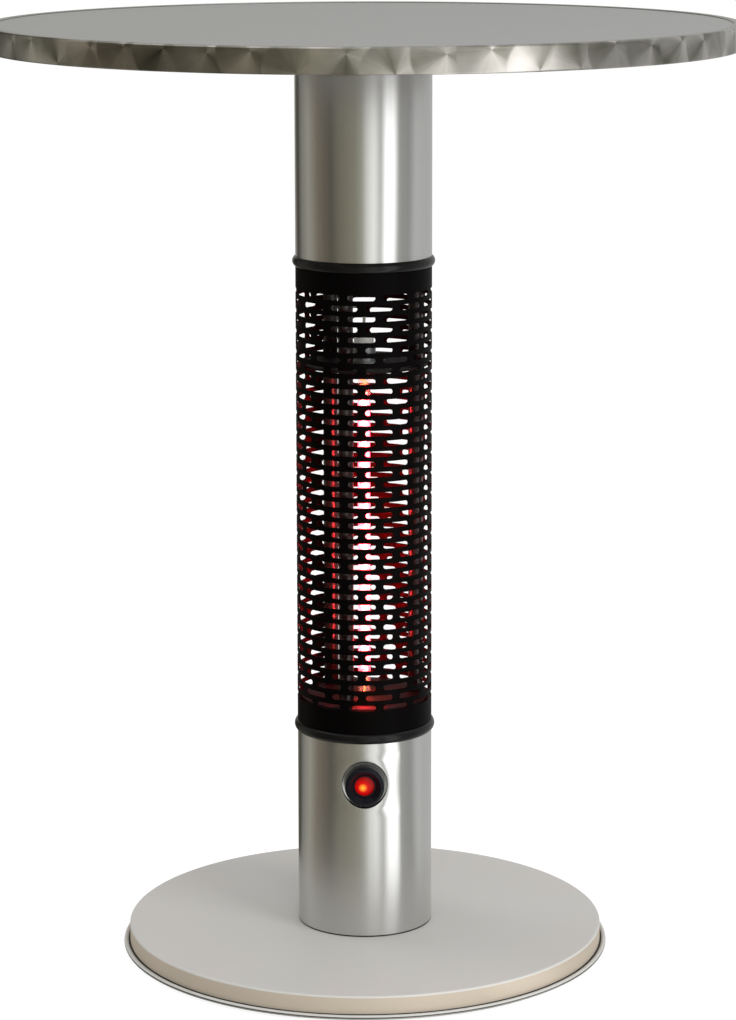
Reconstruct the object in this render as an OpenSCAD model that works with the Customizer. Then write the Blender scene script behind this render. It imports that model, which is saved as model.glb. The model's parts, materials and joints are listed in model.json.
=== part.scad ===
// Heated patio table: round top on a column with a caged infrared lamp and a weighted base.
// Millimetres, +Z up, origin on the floor under the middle of the base, front towards -Y.

/* [Table top] */
// Height of the table from the floor to the top of the edge band
table_h = 760; // [740:5:900]
// Diameter of the table top
top_d = 600; // [500:10:800]
// Height of the edge band
edge_h = 20; // [16:1:40]
// Sheet thickness of the edge band
edge_sheet = 0.8; // [0.6:0.1:1.2]
// Width of the band's lips over and under the board
edge_lip = 8; // [5:0.5:20]
// Outer radius of the band's folded corners
edge_round = 2; // [1.5:0.5:4]
// Angle of the seam in the band, from the front towards the right
edge_seam_turn = 39.5; // [0:0.5:90]
// Gap between the band's two ends at the seam
edge_seam_gap = 0.3; // [0.2:0.1:1]
// Sheet thickness of the top skin
skin_sheet = 0.8; // [0.5:0.1:1.5]
// Diameter of the steel flange under the board
top_flange_d = 170; // [140:5:240]
// Thickness of the steel flange under the board
top_flange_t = 4; // [3:0.5:6]
// Height of the flange's collar inside the column
top_collar_h = 22; // [16:1:40]

/* [Column] */
// Outer diameter of the column
column_d = 110; // [106:1:130]
// Wall of the column tubes
tube_wall = 1.2; // [0.8:0.1:2]
// Height of the lower tube above the base cover
lower_tube_h = 162.6; // [155:0.2:220]
// Height of the perforated guard
guard_h = 374.8; // [320:0.2:440]
// Height of each trim ring between tube and guard
trim_h = 8.2; // [6:0.2:12]
// How far the trim rings stand out of the column
trim_bulge = 2.5; // [1:0.1:5]
// Height of the trim ring's spigot inside the guard
trim_spigot_h = 6; // [4:0.5:10]
// Thickness of the column's collars
collar_wall = 3; // [2:0.5:4]
// Thickness of the steel bulkheads
bulkhead_t = 2; // [1.5:0.5:4]

/* [Guard] */
// Wall of the perforated guard
guard_wall = 1; // [0.8:0.1:2]
// Number of slots round one row, an even number
slot_count = 12; // [10:2:14]
// Height of a slot
slot_h = 4.4; // [3:0.1:6]
// Width of the bridge between two slots of a row
slot_bridge = 6.3; // [4:0.1:9]
// Height from one row of slots to the next
row_pitch = 8.34; // [7.5:0.01:12]
// Height of the first row above the guard's lower edge
first_row = 21.7; // [15:0.1:40]
// Least plain height above the last row
last_row_margin = 19; // [12:0.5:40]
// Turn of the slot pattern from the front towards the right
slot_turn = -2; // [-15:0.5:15]

/* [Posts and lamp] */
// Diameter of the spacer sleeves that form the posts
post_d = 12; // [10:0.5:14]
// Gap between a post and the guard
post_gap = 5.4; // [4.5:0.1:8]
// Turn of the first post from the front towards the right
post_turn = -20; // [-30:1:-15]
// Diameter of the tie rods in the posts
rod_d = 6; // [5:1:8]
// Height of the lower lamp plate above the lower bulkhead
lower_spacer_l = 26.4; // [24:0.2:40]
// Length of the posts above the upper lamp plate
upper_spacer_l = 86.3; // [50:0.1:120]
// Thickness of the lamp plates
lamp_plate_t = 2; // [1.5:0.5:3]
// Outer diameter of the quartz tube
quartz_d = 10; // [9:0.5:12]
// Wall of the quartz tube
quartz_wall = 1.1; // [0.8:0.1:1.5]
// Diameter of the ceramic end caps
cap_d = 16; // [14:0.5:20]
// Length of the ceramic end caps
cap_l = 22; // [18:1:24]
// Depth to which the quartz tube sits in an end cap
cap_socket = 10; // [6:1:12]
// Mean diameter of the filament's coil
coil_d = 4.4; // [3.6:0.2:5]
// Thickness of the filament's wire
coil_wire = 0.9; // [0.7:0.1:1.2]
// Number of turns in the filament
coil_turns = 60; // [30:1:60]
// Diameter of the lamp leads
lead_d = 2.4; // [2:0.2:2.6]

/* [Switch] */
// Height of the switch above the base cover
switch_h = 128.5; // [118:0.5:132]
// Diameter of the switch bezel
bezel_d = 32; // [31:0.5:34]
// How far the bezel stands out of its seat in the tube
bezel_proud = 12; // [9:0.5:14]
// Radius of the flat seat pressed into the tube
seat_r = 17.5; // [17:0.5:18]
// Travel of the push button
button_travel = 2.5; // [1:0.5:3]
// Diameter of the push button's cap
button_d = 19; // [17:0.5:19]
// Diameter of the red lens in the button
lens_d = 16; // [10:0.5:16]

/* [Electrics] */
// Width of the bracket that carries the electrics
bracket_w = 48; // [44:1:50]
// Length of the bracket below the lower bulkhead
bracket_l = 104; // [100:1:108]
// Sheet thickness of the bracket
bracket_t = 1.5; // [1:0.5:2]
// Distance of the bracket behind the column's axis
bracket_back = 12; // [11:0.5:13]
// Largest tilt of the pendulum to either side, in degrees
pendulum_swing = 18; // [10:1:18]
// Diameter of the power cord that the gland holds
cord_d = 8; // [6:0.5:9]
// Height of the cable gland above the base cover
gland_h = 42; // [42:1:50]

/* [Base] */
// Height of the top of the base cover above the floor
base_h = 20; // [18:0.5:40]
// Sheet thickness of the base cover
cover_sheet = 1; // [0.8:0.1:1.5]
// Outer radius of the cover's rounded edge
cover_round = 3; // [2:0.5:5]
// Sheet thickness of the base pan
pan_sheet = 1.2; // [1:0.1:2]
// Thickness of the pan's rolled rim
rim_d = 6.2; // [5:0.1:7]
// Diameter of the base weight
weight_d = 370; // [340:2:460]
// Gap between the base weight and the skirt of the base cover round it
weight_gap = 5.5; // [3:0.5:20]
// Gap between the base cover and the pan's rolled rim round it
rim_gap = 2.3; // [1:0.1:6]
// Thickness of the rubber feet
foot_h = 4; // [3.5:0.5:6]
// Diameter of the rubber feet
foot_d = 32; // [24:1:40]
// Number of rubber feet
foot_count = 6; // [3:1:8]
// Thickness of the flange at the foot of the column
foot_flange_t = 6; // [5:0.5:8]
// Height of the collar at the foot of the column
foot_collar_h = 26; // [20:1:26]

/* [Hidden] */
$fn = 96;

// Clearances
fit_gap = 0.1;
thread_gap = 0.1;
rod_gap = 0.3;

// Table top
top_r = top_d / 2;
band_in_r = top_r - edge_sheet;
band_low = table_h - edge_h;
board_low = band_low + edge_sheet;
board_high = table_h - edge_sheet - skin_sheet;
top_flange_low = board_low - top_flange_t;
top_screw_d = 5;
top_screw_l = top_flange_t + edge_h - 6;
top_screw_count = 6;
top_screw_r = (top_flange_d + column_d) / 4;

// Column stack from the floor up
column_r = column_d / 2;
tube_in_r = column_r - tube_wall;
guard_in_r = column_r - guard_wall;
lower_tube_top = base_h + lower_tube_h;
guard_low = lower_tube_top + trim_h;
guard_top = guard_low + guard_h;
upper_tube_low = guard_top + trim_h;
trim_out_r = column_r + trim_bulge;
trim_in_r = guard_in_r - fit_gap - 2.5;
trim_arc_r = (trim_h * trim_h / 4 + trim_bulge * trim_bulge) / (2 * trim_bulge);
row_count = floor((guard_h - first_row - last_row_margin) / row_pitch) + 1;
slot_l = 2 * PI * column_r / slot_count - slot_bridge;

// Posts
post_circle_r = guard_in_r - post_gap - post_d / 2;
post_turns = [post_turn, post_turn + 120, post_turn + 240];
post_bore_r = rod_d / 2 + rod_gap;
washer_d = 2 * rod_d;
washer_t = 1.6;
rod_nut_af = 10 / 6 * rod_d;
rod_nut_h = 5;
rod_proud = washer_t + rod_nut_h + 2;
lower_plate_low = lower_tube_top + lower_spacer_l;
lower_plate_top = lower_plate_low + lamp_plate_t;
upper_plate_top = upper_tube_low - upper_spacer_l;
upper_plate_low = upper_plate_top - lamp_plate_t;
lamp_plate_r = guard_in_r - 2;

// Lamp
quartz_low = lower_plate_low - cap_socket;
quartz_top = upper_plate_top + cap_socket;
holder_wall = 1.5;
holder_flange_r = cap_d / 2 + 9;
holder_h = 14;
holder_screw_r = cap_d / 2 + 5.5;
holder_screw_d = 2.8;
holder_screw_proud = 1;
holder_head_r = 2.4;
holder_head_h = 1.8;
coil_low = lower_plate_top + 7;
coil_top = upper_plate_low - 7;
rings_per_turn = 8;
lead_r = lead_d / 2;
lead_hole_r = lead_r + fit_gap;
// The upper lead comes down close behind the rear post
lead_down_x = post_circle_r * sin(post_turns[2]);
lead_down_y = -post_circle_r * cos(post_turns[2]) + post_d / 2 + lead_r + 0.5;

// Switch, set out along its axis from the seat
switch_z = base_h + switch_h;
seat_y = sqrt(column_r * column_r - seat_r * seat_r) - 0.9;
seat_slope = 1;
seat_depth = 6;
gasket_t = 1;
gasket_r = bezel_d / 2 - 1;
button_r = button_d / 2;
bezel_bore_r = button_r + fit_gap;
barrel_r = bezel_bore_r + 1.4;
barrel_l = 19;
bezel_round = 3;
dish_depth = 4;
dish_rim = 3;
button_front = bezel_proud - dish_depth - 0.5;
button_l = button_front + 1;
lens_l = 4;
stem_r = 3;
stem_l = 13;
switch_plug_l = 6;
switch_body_r = barrel_r + 1.5;
switch_body_l = 20;
switch_nut_af = 2 * barrel_r + 5;
switch_nut_h = 5;
tab_l = 7;
tab_w = 6.3;
tab_t = 0.8;
tab_spread = 6;
spring_wire = 0.8;
spring_d = 10;
spring_turns = 4;

// Electrics
bracket_low = lower_tube_top - bulkhead_t - bracket_l;
bracket_flange_l = 13;
bracket_screw_d = 4;
bracket_face_y = bracket_back + bracket_t;
block_l = bracket_w - 4;
block_depth = 14;
block_h = 18;
block_low = bracket_low + 8;
block_poles = 5;
clamp_r = 2;
block_pitch = block_l / block_poles;
bob_r = 4.6;
bob_drop = 24;
bob_t = 8;
tilt_wall = 1.5;
tilt_w = 2 * (bob_drop * sin(pendulum_swing) + bob_r + 1.5 + tilt_wall);
tilt_h = 44;
tilt_depth = 16;
tilt_low = bracket_low + 22;
tilt_cover_y = bracket_face_y + tilt_depth;
pin_r = 1.2;
pin_z = tilt_low + tilt_h - 7;
bob_y = bracket_face_y + tilt_wall + (tilt_depth - tilt_wall) / 2;
cutout_x = 20;
cutout_y = -24;
cutout_r = 8;
cutout_tab_x = 4;
cutout_cup_h = 5;
cutout_body_h = 9;
cutout_low = lower_tube_top - bulkhead_t - cutout_cup_h - cutout_body_h;
wire_d = 1.8;

// Gland
gland_z = base_h + gland_h;
cord_r = cord_d / 2;
cord_gap = 0.4;
seal_wall = 2.5;
seal_l = 10;
gland_bore_r = cord_r + seal_wall + fit_gap;
gland_thread_r = gland_bore_r + 3.2;
gland_neck_r = gland_bore_r + 2.4;
gland_flange_t = 5;
gland_af = 2 * gland_thread_r + 4.4;
gland_neck_y = column_r + gland_flange_t;
gland_neck_l = 8;
dome_af = 2 * gland_neck_r + 4;
dome_front_t = 3;
lock_nut_h = 4;

// Base
cover_r = weight_d / 2 + weight_gap + cover_sheet;
pan_low = foot_h;
pan_top = pan_low + pan_sheet;
rim_r = rim_d / 2;
rim_circle_r = cover_r + rim_gap + rim_r;
rim_z = pan_top - rim_r + 1.8;
weight_top = base_h - cover_sheet;
bolt_d = 8;
bolt_count = 4;
bolt_circle_r = tube_in_r - 16;
bolt_head_af = 13;
bolt_head_h = 5.3;
bolt_pocket_r = 10;
bolt_pocket_h = 6;
bolt_gap = 0.3;
foot_circle_r = weight_d / 2 - foot_d / 2 - 4;
foot_screw_d = 4;
foot_screw_l = 12;
foot_head_r = 3.8;
foot_head_h = 1.5;
foot_head_inset = 0.9;
foot_screw_seat = foot_head_inset + foot_head_h;

// Column screws: three in each collar
column_screw_d = 5;
column_screw_head_r = 4.5;
column_screw_head_h = 2.6;
column_screw_l = collar_wall + tube_wall + 2;
top_screw_row_z = top_flange_low - 8;
foot_screw_row_z = base_h + foot_flange_t + 8;
top_screw_turns = [60, 180, 300];
foot_screw_turns = [120, 180, 240];

// Colours
steel_colour = [0.78, 0.78, 0.77];
top_colour = [0.63, 0.63, 0.62];
band_colour = [0.62, 0.61, 0.55];
black_colour = [0.05, 0.05, 0.05];
zinc_colour = [0.68, 0.69, 0.70];
ceramic_colour = [0.93, 0.91, 0.86];
board_colour = [0.72, 0.58, 0.42];
brass_colour = [0.80, 0.65, 0.30];
rubber_colour = [0.09, 0.09, 0.09];
lead_colour = [0.85, 0.83, 0.76];

// Helpers
module round_the_column(turn, r) {
  rotate([0, 0, turn]) translate([0, -r, 0]) children();
}

module ring(r_out, r_in, low, h) {
  translate([0, 0, low]) difference() {
    cylinder(r = r_out, h = h);
    translate([0, 0, -1]) cylinder(r = r_in, h = h + 2);
  }
}

module hex_prism(af, h) {
  cylinder(r = af / sqrt(3), h = h, $fn = 6);
}

// Turns a shape made along +Z so that it points out of the column at a given turn
module pointing_out(turn, z) {
  rotate([0, 0, turn]) translate([0, 0, z]) rotate([90, 0, 0]) children();
}

module pan_head_screw(d, l, head_r, head_h) {
  translate([0, 0, -l]) cylinder(d = d, h = l);
  rotate_extrude() intersection() {
    translate([0, head_h - head_r * 1.6]) circle(r = head_r * 1.6);
    square([head_r, head_h]);
  }
}

function unit(v) = v / norm(v);
function tangents(p) = [
  for (i = [0 : len(p) - 1]) unit(p[min(i + 1, len(p) - 1)] - p[max(i - 1, 0)])
];
function any_normal(t) = unit(cross(t, abs(t[2]) < 0.7 ? [0, 0, 1] : [1, 0, 0]));
// Carries a normal along the path without letting it twist
function carried(t) = [
  for (i = 0, u = any_normal(t[0]); i < len(t); i = i + 1,
       u = i < len(t) ? unit(u - (u * t[i]) * t[i]) : u) u
];
function tube_points(p, r, sides, t, u) = [
  for (i = [0 : len(p) - 1]) for (k = [0 : sides - 1])
    p[i] + r * (cos(360 * k / sides) * u[i] + sin(360 * k / sides) * cross(t[i], u[i]))
];
function tube_faces(rings, sides) = concat(
  [for (k = [1 : sides - 2]) [0, k, k + 1]],
  [for (i = [0 : rings - 2]) for (k = [0 : sides - 1])
    [i * sides + k, (i + 1) * sides + (k + 1) % sides, i * sides + (k + 1) % sides]],
  [for (i = [0 : rings - 2]) for (k = [0 : sides - 1])
    [i * sides + k, (i + 1) * sides + k, (i + 1) * sides + (k + 1) % sides]],
  [for (k = [1 : sides - 2])
    [(rings - 1) * sides, (rings - 1) * sides + k + 1, (rings - 1) * sides + k]]
);

// A closed tube along a list of points
module tube_along(p, r, sides) {
  t = tangents(p);
  polyhedron(
    points = tube_points(p, r, sides, t, carried(t)),
    faces = tube_faces(len(p), sides),
    convexity = 10
  );
}

// A smooth curve through hand-chosen points, which leaves the first and reaches the last in line
function curve_point(a, b, c, d, s) =
  let (leave = norm(c - b) * unit(c - a), arrive = norm(c - b) * unit(d - b), s2 = s * s, s3 = s2 * s)
  (2 * s3 - 3 * s2 + 1) * b + (s3 - 2 * s2 + s) * leave + (3 * s2 - 2 * s3) * c + (s3 - s2) * arrive;
function curve(c, steps) = [
  for (i = [0 : len(c) - 2]) for (s = [0 : (i == len(c) - 2 ? steps : steps - 1)])
    curve_point(c[max(i - 1, 0)], c[i], c[i + 1], c[min(i + 2, len(c) - 1)], s / steps)
];

// Table top

module top_screw_places() {
  for (i = [0 : top_screw_count - 1]) round_the_column(30 + i * 360 / top_screw_count, top_screw_r)
    translate([0, 0, top_flange_low]) children();
}

module top_board() {
  chamfer = edge_round - edge_sheet;
  color(board_colour) difference() {
    rotate_extrude($fn = 180) polygon([
      [0, board_low], [band_in_r - chamfer, board_low], [band_in_r, board_low + chamfer],
      [band_in_r, board_high - chamfer], [band_in_r - chamfer, board_high], [0, board_high]
    ]);
    top_screw_places() cylinder(r = top_screw_d / 2 + thread_gap, h = top_screw_l + 1);
  }
}

module top_skin() {
  color(top_colour) translate([0, 0, board_high])
    cylinder(r = top_r - edge_round, h = skin_sheet, $fn = 180);
}

module rounded_edge_profile(r, h, corner) {
  square([r - corner, h]);
  translate([0, corner]) square([r, h - 2 * corner]);
  for (z = [corner, h - corner]) translate([r - corner, z]) circle(r = corner);
}

module edge_band() {
  color(band_colour) difference() {
    translate([0, 0, band_low]) rotate_extrude($fn = 180) difference() {
      rounded_edge_profile(top_r, edge_h, edge_round);
      translate([0, edge_sheet])
        rounded_edge_profile(band_in_r, edge_h - 2 * edge_sheet, edge_round - edge_sheet);
      translate([0, -1]) square([top_r - edge_lip, edge_h + 2]);
    }
    round_the_column(edge_seam_turn, top_r)
      translate([-edge_seam_gap / 2, -1, band_low - 1]) cube([edge_seam_gap, edge_lip + 2, edge_h + 2]);
  }
}

module top_flange() {
  collar_r = tube_in_r - fit_gap;
  color(zinc_colour) difference() {
    union() {
      translate([0, 0, top_flange_low]) cylinder(d = top_flange_d, h = top_flange_t);
      translate([0, 0, top_flange_low - top_collar_h]) cylinder(r = collar_r, h = top_collar_h + 1);
    }
    translate([0, 0, top_flange_low - top_collar_h - 1])
      cylinder(r = collar_r - collar_wall, h = top_collar_h + top_flange_t + 2);
    top_screw_places() translate([0, 0, -1]) cylinder(r = top_screw_d / 2 + thread_gap, h = top_flange_t + 2);
    for (turn = top_screw_turns) pointing_out(turn, top_screw_row_z)
      cylinder(r = column_screw_d / 2 + thread_gap, h = column_d);
  }
}

module top_flange_screws() {
  color(steel_colour) top_screw_places() mirror([0, 0, 1])
    pan_head_screw(top_screw_d, top_screw_l, top_screw_d, 2.4);
}

// Column

module upper_tube() {
  color(steel_colour) difference() {
    ring(column_r, tube_in_r, upper_tube_low, top_flange_low - upper_tube_low);
    for (turn = top_screw_turns) pointing_out(turn, top_screw_row_z)
      cylinder(r = column_screw_d / 2 + thread_gap, h = column_d);
  }
}

module bulkhead(low, has_centre_hole) {
  difference() {
    translate([0, 0, low]) cylinder(r = tube_in_r - fit_gap, h = bulkhead_t);
    for (turn = post_turns) round_the_column(turn, post_circle_r)
      translate([0, 0, low - 1]) cylinder(r = post_bore_r, h = bulkhead_t + 2);
    if (has_centre_hole) translate([0, 0, low - 1]) cylinder(r = lead_hole_r + 1.4, h = bulkhead_t + 2);
    if (has_centre_hole) translate([lead_down_x, lead_down_y, low - 1])
      cylinder(r = lead_hole_r + 0.4, h = bulkhead_t + 2);
    if (has_centre_hole) bracket_screw_places() translate([0, 0, -1])
      cylinder(r = bracket_screw_d / 2 + thread_gap, h = bulkhead_t + bracket_t + 2);
  }
}

module upper_bulkhead() {
  color(zinc_colour) bulkhead(upper_tube_low, false);
}

module lower_bulkhead() {
  color(zinc_colour) bulkhead(lower_tube_top - bulkhead_t, true);
}

// Ring with a rounded bead outside; its spigot points to +Z and fits in the guard
module trim_ring() {
  rotate_extrude() {
    translate([trim_in_r, 0]) square([column_r - trim_in_r, trim_h]);
    intersection() {
      translate([trim_out_r - trim_arc_r, trim_h / 2]) circle(r = trim_arc_r);
      translate([trim_in_r + 1, 0]) square([column_r, trim_h]);
    }
    translate([trim_in_r, 0]) square([guard_in_r - fit_gap - trim_in_r, trim_h + trim_spigot_h]);
  }
}

module upper_trim_ring() {
  color(black_colour) translate([0, 0, upper_tube_low]) mirror([0, 0, 1]) trim_ring();
}

module lower_trim_ring() {
  color(black_colour) translate([0, 0, lower_tube_top]) trim_ring();
}

// Slots in staggered rows, each cut through one wall
module guard() {
  slot_step = 360 / slot_count;
  cut_in_r = guard_in_r * cos(slot_step / 2) - 1;
  color(black_colour) difference() {
    ring(column_r, guard_in_r, guard_low, guard_h);
    for (row = [0 : row_count - 1]) for (i = [0 : slot_count - 1])
      pointing_out(slot_turn + (i + (row % 2) / 2) * slot_step, guard_low + first_row + row * row_pitch)
        translate([0, 0, cut_in_r]) linear_extrude(height = column_r + 1 - cut_in_r)
          square([slot_l, slot_h], center = true);
  }
}

// The lower tube has a flat seat pressed in at the front for the switch
module lower_tube() {
  color(steel_colour) difference() {
    union() {
      ring(column_r, tube_in_r, base_h, lower_tube_h);
      intersection() {
        translate([0, 0, base_h]) cylinder(r = column_r, h = lower_tube_h);
        pointing_out(0, switch_z) translate([0, 0, seat_y - tube_wall]) cylinder(
          r1 = seat_r + tube_wall, r2 = seat_r + tube_wall + seat_slope * seat_depth, h = seat_depth
        );
      }
    }
    pointing_out(0, switch_z) translate([0, 0, seat_y])
      cylinder(r1 = seat_r, r2 = seat_r + seat_slope * seat_depth, h = seat_depth);
    pointing_out(0, switch_z) translate([0, 0, seat_y - 10]) cylinder(r = barrel_r + fit_gap, h = 20);
    pointing_out(180, gland_z) cylinder(r = gland_thread_r + fit_gap, h = column_d);
    for (turn = foot_screw_turns) pointing_out(turn, foot_screw_row_z)
      cylinder(r = column_screw_d / 2 + thread_gap, h = column_d);
  }
}

// Screws that hold the column to the flanges at its top and foot
module column_screws() {
  color(steel_colour) {
    for (turn = top_screw_turns) pointing_out(turn, top_screw_row_z) translate([0, 0, column_r])
      pan_head_screw(column_screw_d, column_screw_l, column_screw_head_r, column_screw_head_h);
    for (turn = foot_screw_turns) pointing_out(turn, foot_screw_row_z) translate([0, 0, column_r])
      pan_head_screw(column_screw_d, column_screw_l, column_screw_head_r, column_screw_head_h);
  }
}

// Posts

module sleeve(turn, low, h) {
  round_the_column(turn, post_circle_r) ring(post_d / 2, post_bore_r, low, h);
}

module tie_rods() {
  rod_low = lower_tube_top - bulkhead_t - rod_proud;
  rod_top = upper_tube_low + bulkhead_t + rod_proud;
  color(zinc_colour) for (turn = post_turns) round_the_column(turn, post_circle_r)
    translate([0, 0, rod_low]) cylinder(d = rod_d, h = rod_top - rod_low);
}

module rod_nut_and_washer() {
  difference() {
    union() {
      cylinder(d = washer_d, h = washer_t);
      translate([0, 0, washer_t]) hex_prism(rod_nut_af, rod_nut_h);
    }
    translate([0, 0, -1]) cylinder(r = rod_d / 2 + thread_gap, h = washer_t + rod_nut_h + 2);
  }
}

module tie_rod_nuts() {
  color(zinc_colour) for (turn = post_turns) round_the_column(turn, post_circle_r) {
    translate([0, 0, upper_tube_low + bulkhead_t]) rod_nut_and_washer();
    translate([0, 0, lower_tube_top - bulkhead_t]) mirror([0, 0, 1]) rod_nut_and_washer();
  }
}

module lower_spacers() {
  color(black_colour) for (turn = post_turns) sleeve(turn, lower_tube_top, lower_spacer_l);
}

module upper_spacers() {
  color(black_colour) for (turn = post_turns) sleeve(turn, upper_plate_top, upper_spacer_l);
}

module post(turn) {
  color(black_colour) sleeve(turn, lower_plate_top, upper_plate_low - lower_plate_top);
}

module front_post() {
  post(post_turns[0]);
}

module right_post() {
  post(post_turns[1]);
}

module rear_post() {
  post(post_turns[2]);
}

// Lamp

module lamp_plate(low) {
  color(zinc_colour) difference() {
    translate([0, 0, low]) cylinder(r = lamp_plate_r, h = lamp_plate_t);
    translate([0, 0, low - 1]) cylinder(r = quartz_d / 2 + 0.6, h = lamp_plate_t + 2);
    translate([lead_down_x, lead_down_y, low - 1]) cylinder(r = lead_hole_r + 0.2, h = lamp_plate_t + 2);
    for (turn = post_turns) round_the_column(turn, post_circle_r)
      translate([0, 0, low - 1]) cylinder(r = post_bore_r, h = lamp_plate_t + 2);
    for (side = [-1, 1]) translate([side * holder_screw_r, 0, low - 1])
      cylinder(r = holder_screw_d / 2 + thread_gap, h = lamp_plate_t + 2);
  }
}

module upper_lamp_plate() {
  lamp_plate(upper_plate_low);
}

module lower_lamp_plate() {
  lamp_plate(lower_plate_low);
}

module quartz_tube() {
  color([0.9, 0.9, 0.9, 0.35])
    ring(quartz_d / 2, quartz_d / 2 - quartz_wall, quartz_low, quartz_top - quartz_low);
}

// Least distance from a wound wire to its own next turns
function gap_to_itself(p, wire) = min([
  for (i = [0 : len(p) - 1]) for (j = [i + rings_per_turn / 2 : 1 : min(i + 2 * rings_per_turn, len(p) - 1)])
    norm(p[j] - p[i])
]) - wire;

// Straight lead-ins at both ends and a coil between them, which opens and closes over one turn
function coil_radius(turn) = coil_d / 2 * min(1, turn, coil_turns - turn);
coil_path = concat(
  [[0, 0, quartz_low], [0, 0, (quartz_low + coil_low) / 2]],
  [for (i = [0 : coil_turns * rings_per_turn])
    let (turn = i / rings_per_turn)
    [coil_radius(turn) * cos(360 * turn), coil_radius(turn) * sin(360 * turn),
     coil_low + (coil_top - coil_low) * turn / coil_turns]],
  [[0, 0, (quartz_top + coil_top) / 2], [0, 0, quartz_top]]
);

echo(filament_gap_to_itself_mm = gap_to_itself(coil_path, coil_wire));

module filament() {
  color([1, 0.55, 0.2]) tube_along(coil_path, coil_wire / 2, 6);
}

// Ceramic cap with its socket towards -Z and its lead hole towards +Z
module end_cap() {
  difference() {
    cylinder(d = cap_d, h = cap_l);
    translate([0, 0, -1]) cylinder(r = quartz_d / 2 + fit_gap, h = cap_socket + 1);
    cylinder(r = lead_hole_r, h = cap_l + 1);
  }
}

module upper_end_cap() {
  color(ceramic_colour) translate([0, 0, upper_plate_top]) end_cap();
}

module lower_end_cap() {
  color(ceramic_colour) translate([0, 0, lower_plate_low]) mirror([0, 0, 1]) end_cap();
}

// Flanged collar that grips an end cap on a lamp plate
module lamp_holder() {
  difference() {
    union() {
      cylinder(r = holder_flange_r, h = holder_wall);
      cylinder(r = cap_d / 2 + fit_gap + holder_wall, h = holder_h);
    }
    translate([0, 0, -1]) cylinder(r = cap_d / 2 + fit_gap, h = holder_h + 2);
    for (side = [-1, 1]) translate([side * holder_screw_r, 0, -1])
      cylinder(r = holder_screw_d / 2 + thread_gap, h = holder_wall + 2);
  }
}

module upper_lamp_holder() {
  color(zinc_colour) translate([0, 0, upper_plate_top]) lamp_holder();
}

module lower_lamp_holder() {
  color(zinc_colour) translate([0, 0, lower_plate_low]) mirror([0, 0, 1]) lamp_holder();
}

module lamp_holder_screws() {
  screw_l = holder_wall + lamp_plate_t + holder_screw_proud;
  color(steel_colour) for (side = [-1, 1]) {
    translate([side * holder_screw_r, 0, upper_plate_top + holder_wall])
      pan_head_screw(holder_screw_d, screw_l, holder_head_r, holder_head_h);
    translate([side * holder_screw_r, 0, lower_plate_low - holder_wall]) mirror([0, 0, 1])
      pan_head_screw(holder_screw_d, screw_l, holder_head_r, holder_head_h);
  }
}

// Wires end on top of the terminal block, one place to each pole
function block_entry(pole) = [
  (pole - (block_poles - 1) / 2) * block_pitch, bracket_back - block_depth / 2, block_low + block_h
];
upper_cap_top = upper_plate_top + cap_l;
lower_cap_low = lower_plate_low - cap_l;
upper_lead_route = [
  [0, 0, quartz_top], [0, 0, upper_cap_top], [0, 0, upper_cap_top + 6],
  [0, 10, upper_cap_top + 16], [-6, 30, upper_cap_top + 18],
  [lead_down_x + 10, lead_down_y + 1.5, upper_cap_top + 12], [lead_down_x, lead_down_y, upper_cap_top - 6],
  [lead_down_x, lead_down_y, upper_plate_top + 2], [lead_down_x, lead_down_y, upper_plate_top - 20],
  [lead_down_x, lead_down_y, lower_plate_low + 12], [lead_down_x, lead_down_y, lower_tube_top + 6],
  [lead_down_x, lead_down_y, lower_tube_top - bulkhead_t - 3],
  [-bracket_w / 2 - 6, bracket_back + 20, lower_tube_top - 34],
  [-bracket_w / 2 - 6, bracket_back - 4, block_low + block_h + 28],
  block_entry(0) + [0, 0, 14], block_entry(0) + [0, 0, 7], block_entry(0)
];
lower_lead_route = [
  [0, 0, quartz_low], [0, 0, lower_cap_low], [0, 0, lower_tube_top - bulkhead_t - 3],
  [bracket_w / 2 - 6, bracket_back - 7, lower_tube_top - bulkhead_t - 30],
  [bracket_w / 2 - 2, bracket_back - 8, block_low + block_h + 28],
  block_entry(4) + [0, 0, 14], block_entry(4) + [0, 0, 7], block_entry(4)
];

module upper_lamp_lead() {
  color(lead_colour) tube_along(curve(upper_lead_route, 5), lead_r, 8);
}

module lower_lamp_lead() {
  color(lead_colour) tube_along(curve(lower_lead_route, 5), lead_r, 8);
}

// Switch

module switch_frame() {
  pointing_out(0, switch_z) translate([0, 0, seat_y]) children();
}

module switch_bezel() {
  flange_r = bezel_d / 2;
  color(black_colour) switch_frame() difference() {
    union() {
      rotate_extrude() {
        translate([0, gasket_t]) square([flange_r, bezel_proud - gasket_t - bezel_round]);
        square([flange_r - bezel_round, bezel_proud]);
        translate([flange_r - bezel_round, bezel_proud - bezel_round]) circle(r = bezel_round);
      }
      translate([0, 0, -barrel_l]) cylinder(r = barrel_r, h = barrel_l + gasket_t + 1);
    }
    translate([0, 0, -barrel_l - 1]) cylinder(r = bezel_bore_r, h = barrel_l + bezel_proud + 2);
    translate([0, 0, bezel_proud - dish_depth])
      cylinder(r1 = bezel_bore_r, r2 = flange_r - dish_rim, h = dish_depth + 0.01);
    ring(flange_r + 1, gasket_r, -1, gasket_t + 1);
    ring(gasket_r + 1, barrel_r, 0, gasket_t);
  }
}

module switch_gasket() {
  color(rubber_colour) switch_frame() ring(gasket_r, barrel_r + fit_gap, 0, gasket_t);
}

module switch_nut() {
  color(black_colour) switch_frame() translate([0, 0, -tube_wall - switch_nut_h]) difference() {
    hex_prism(switch_nut_af, switch_nut_h);
    translate([0, 0, -1]) cylinder(r = barrel_r + thread_gap, h = switch_nut_h + 2);
  }
}

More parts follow.
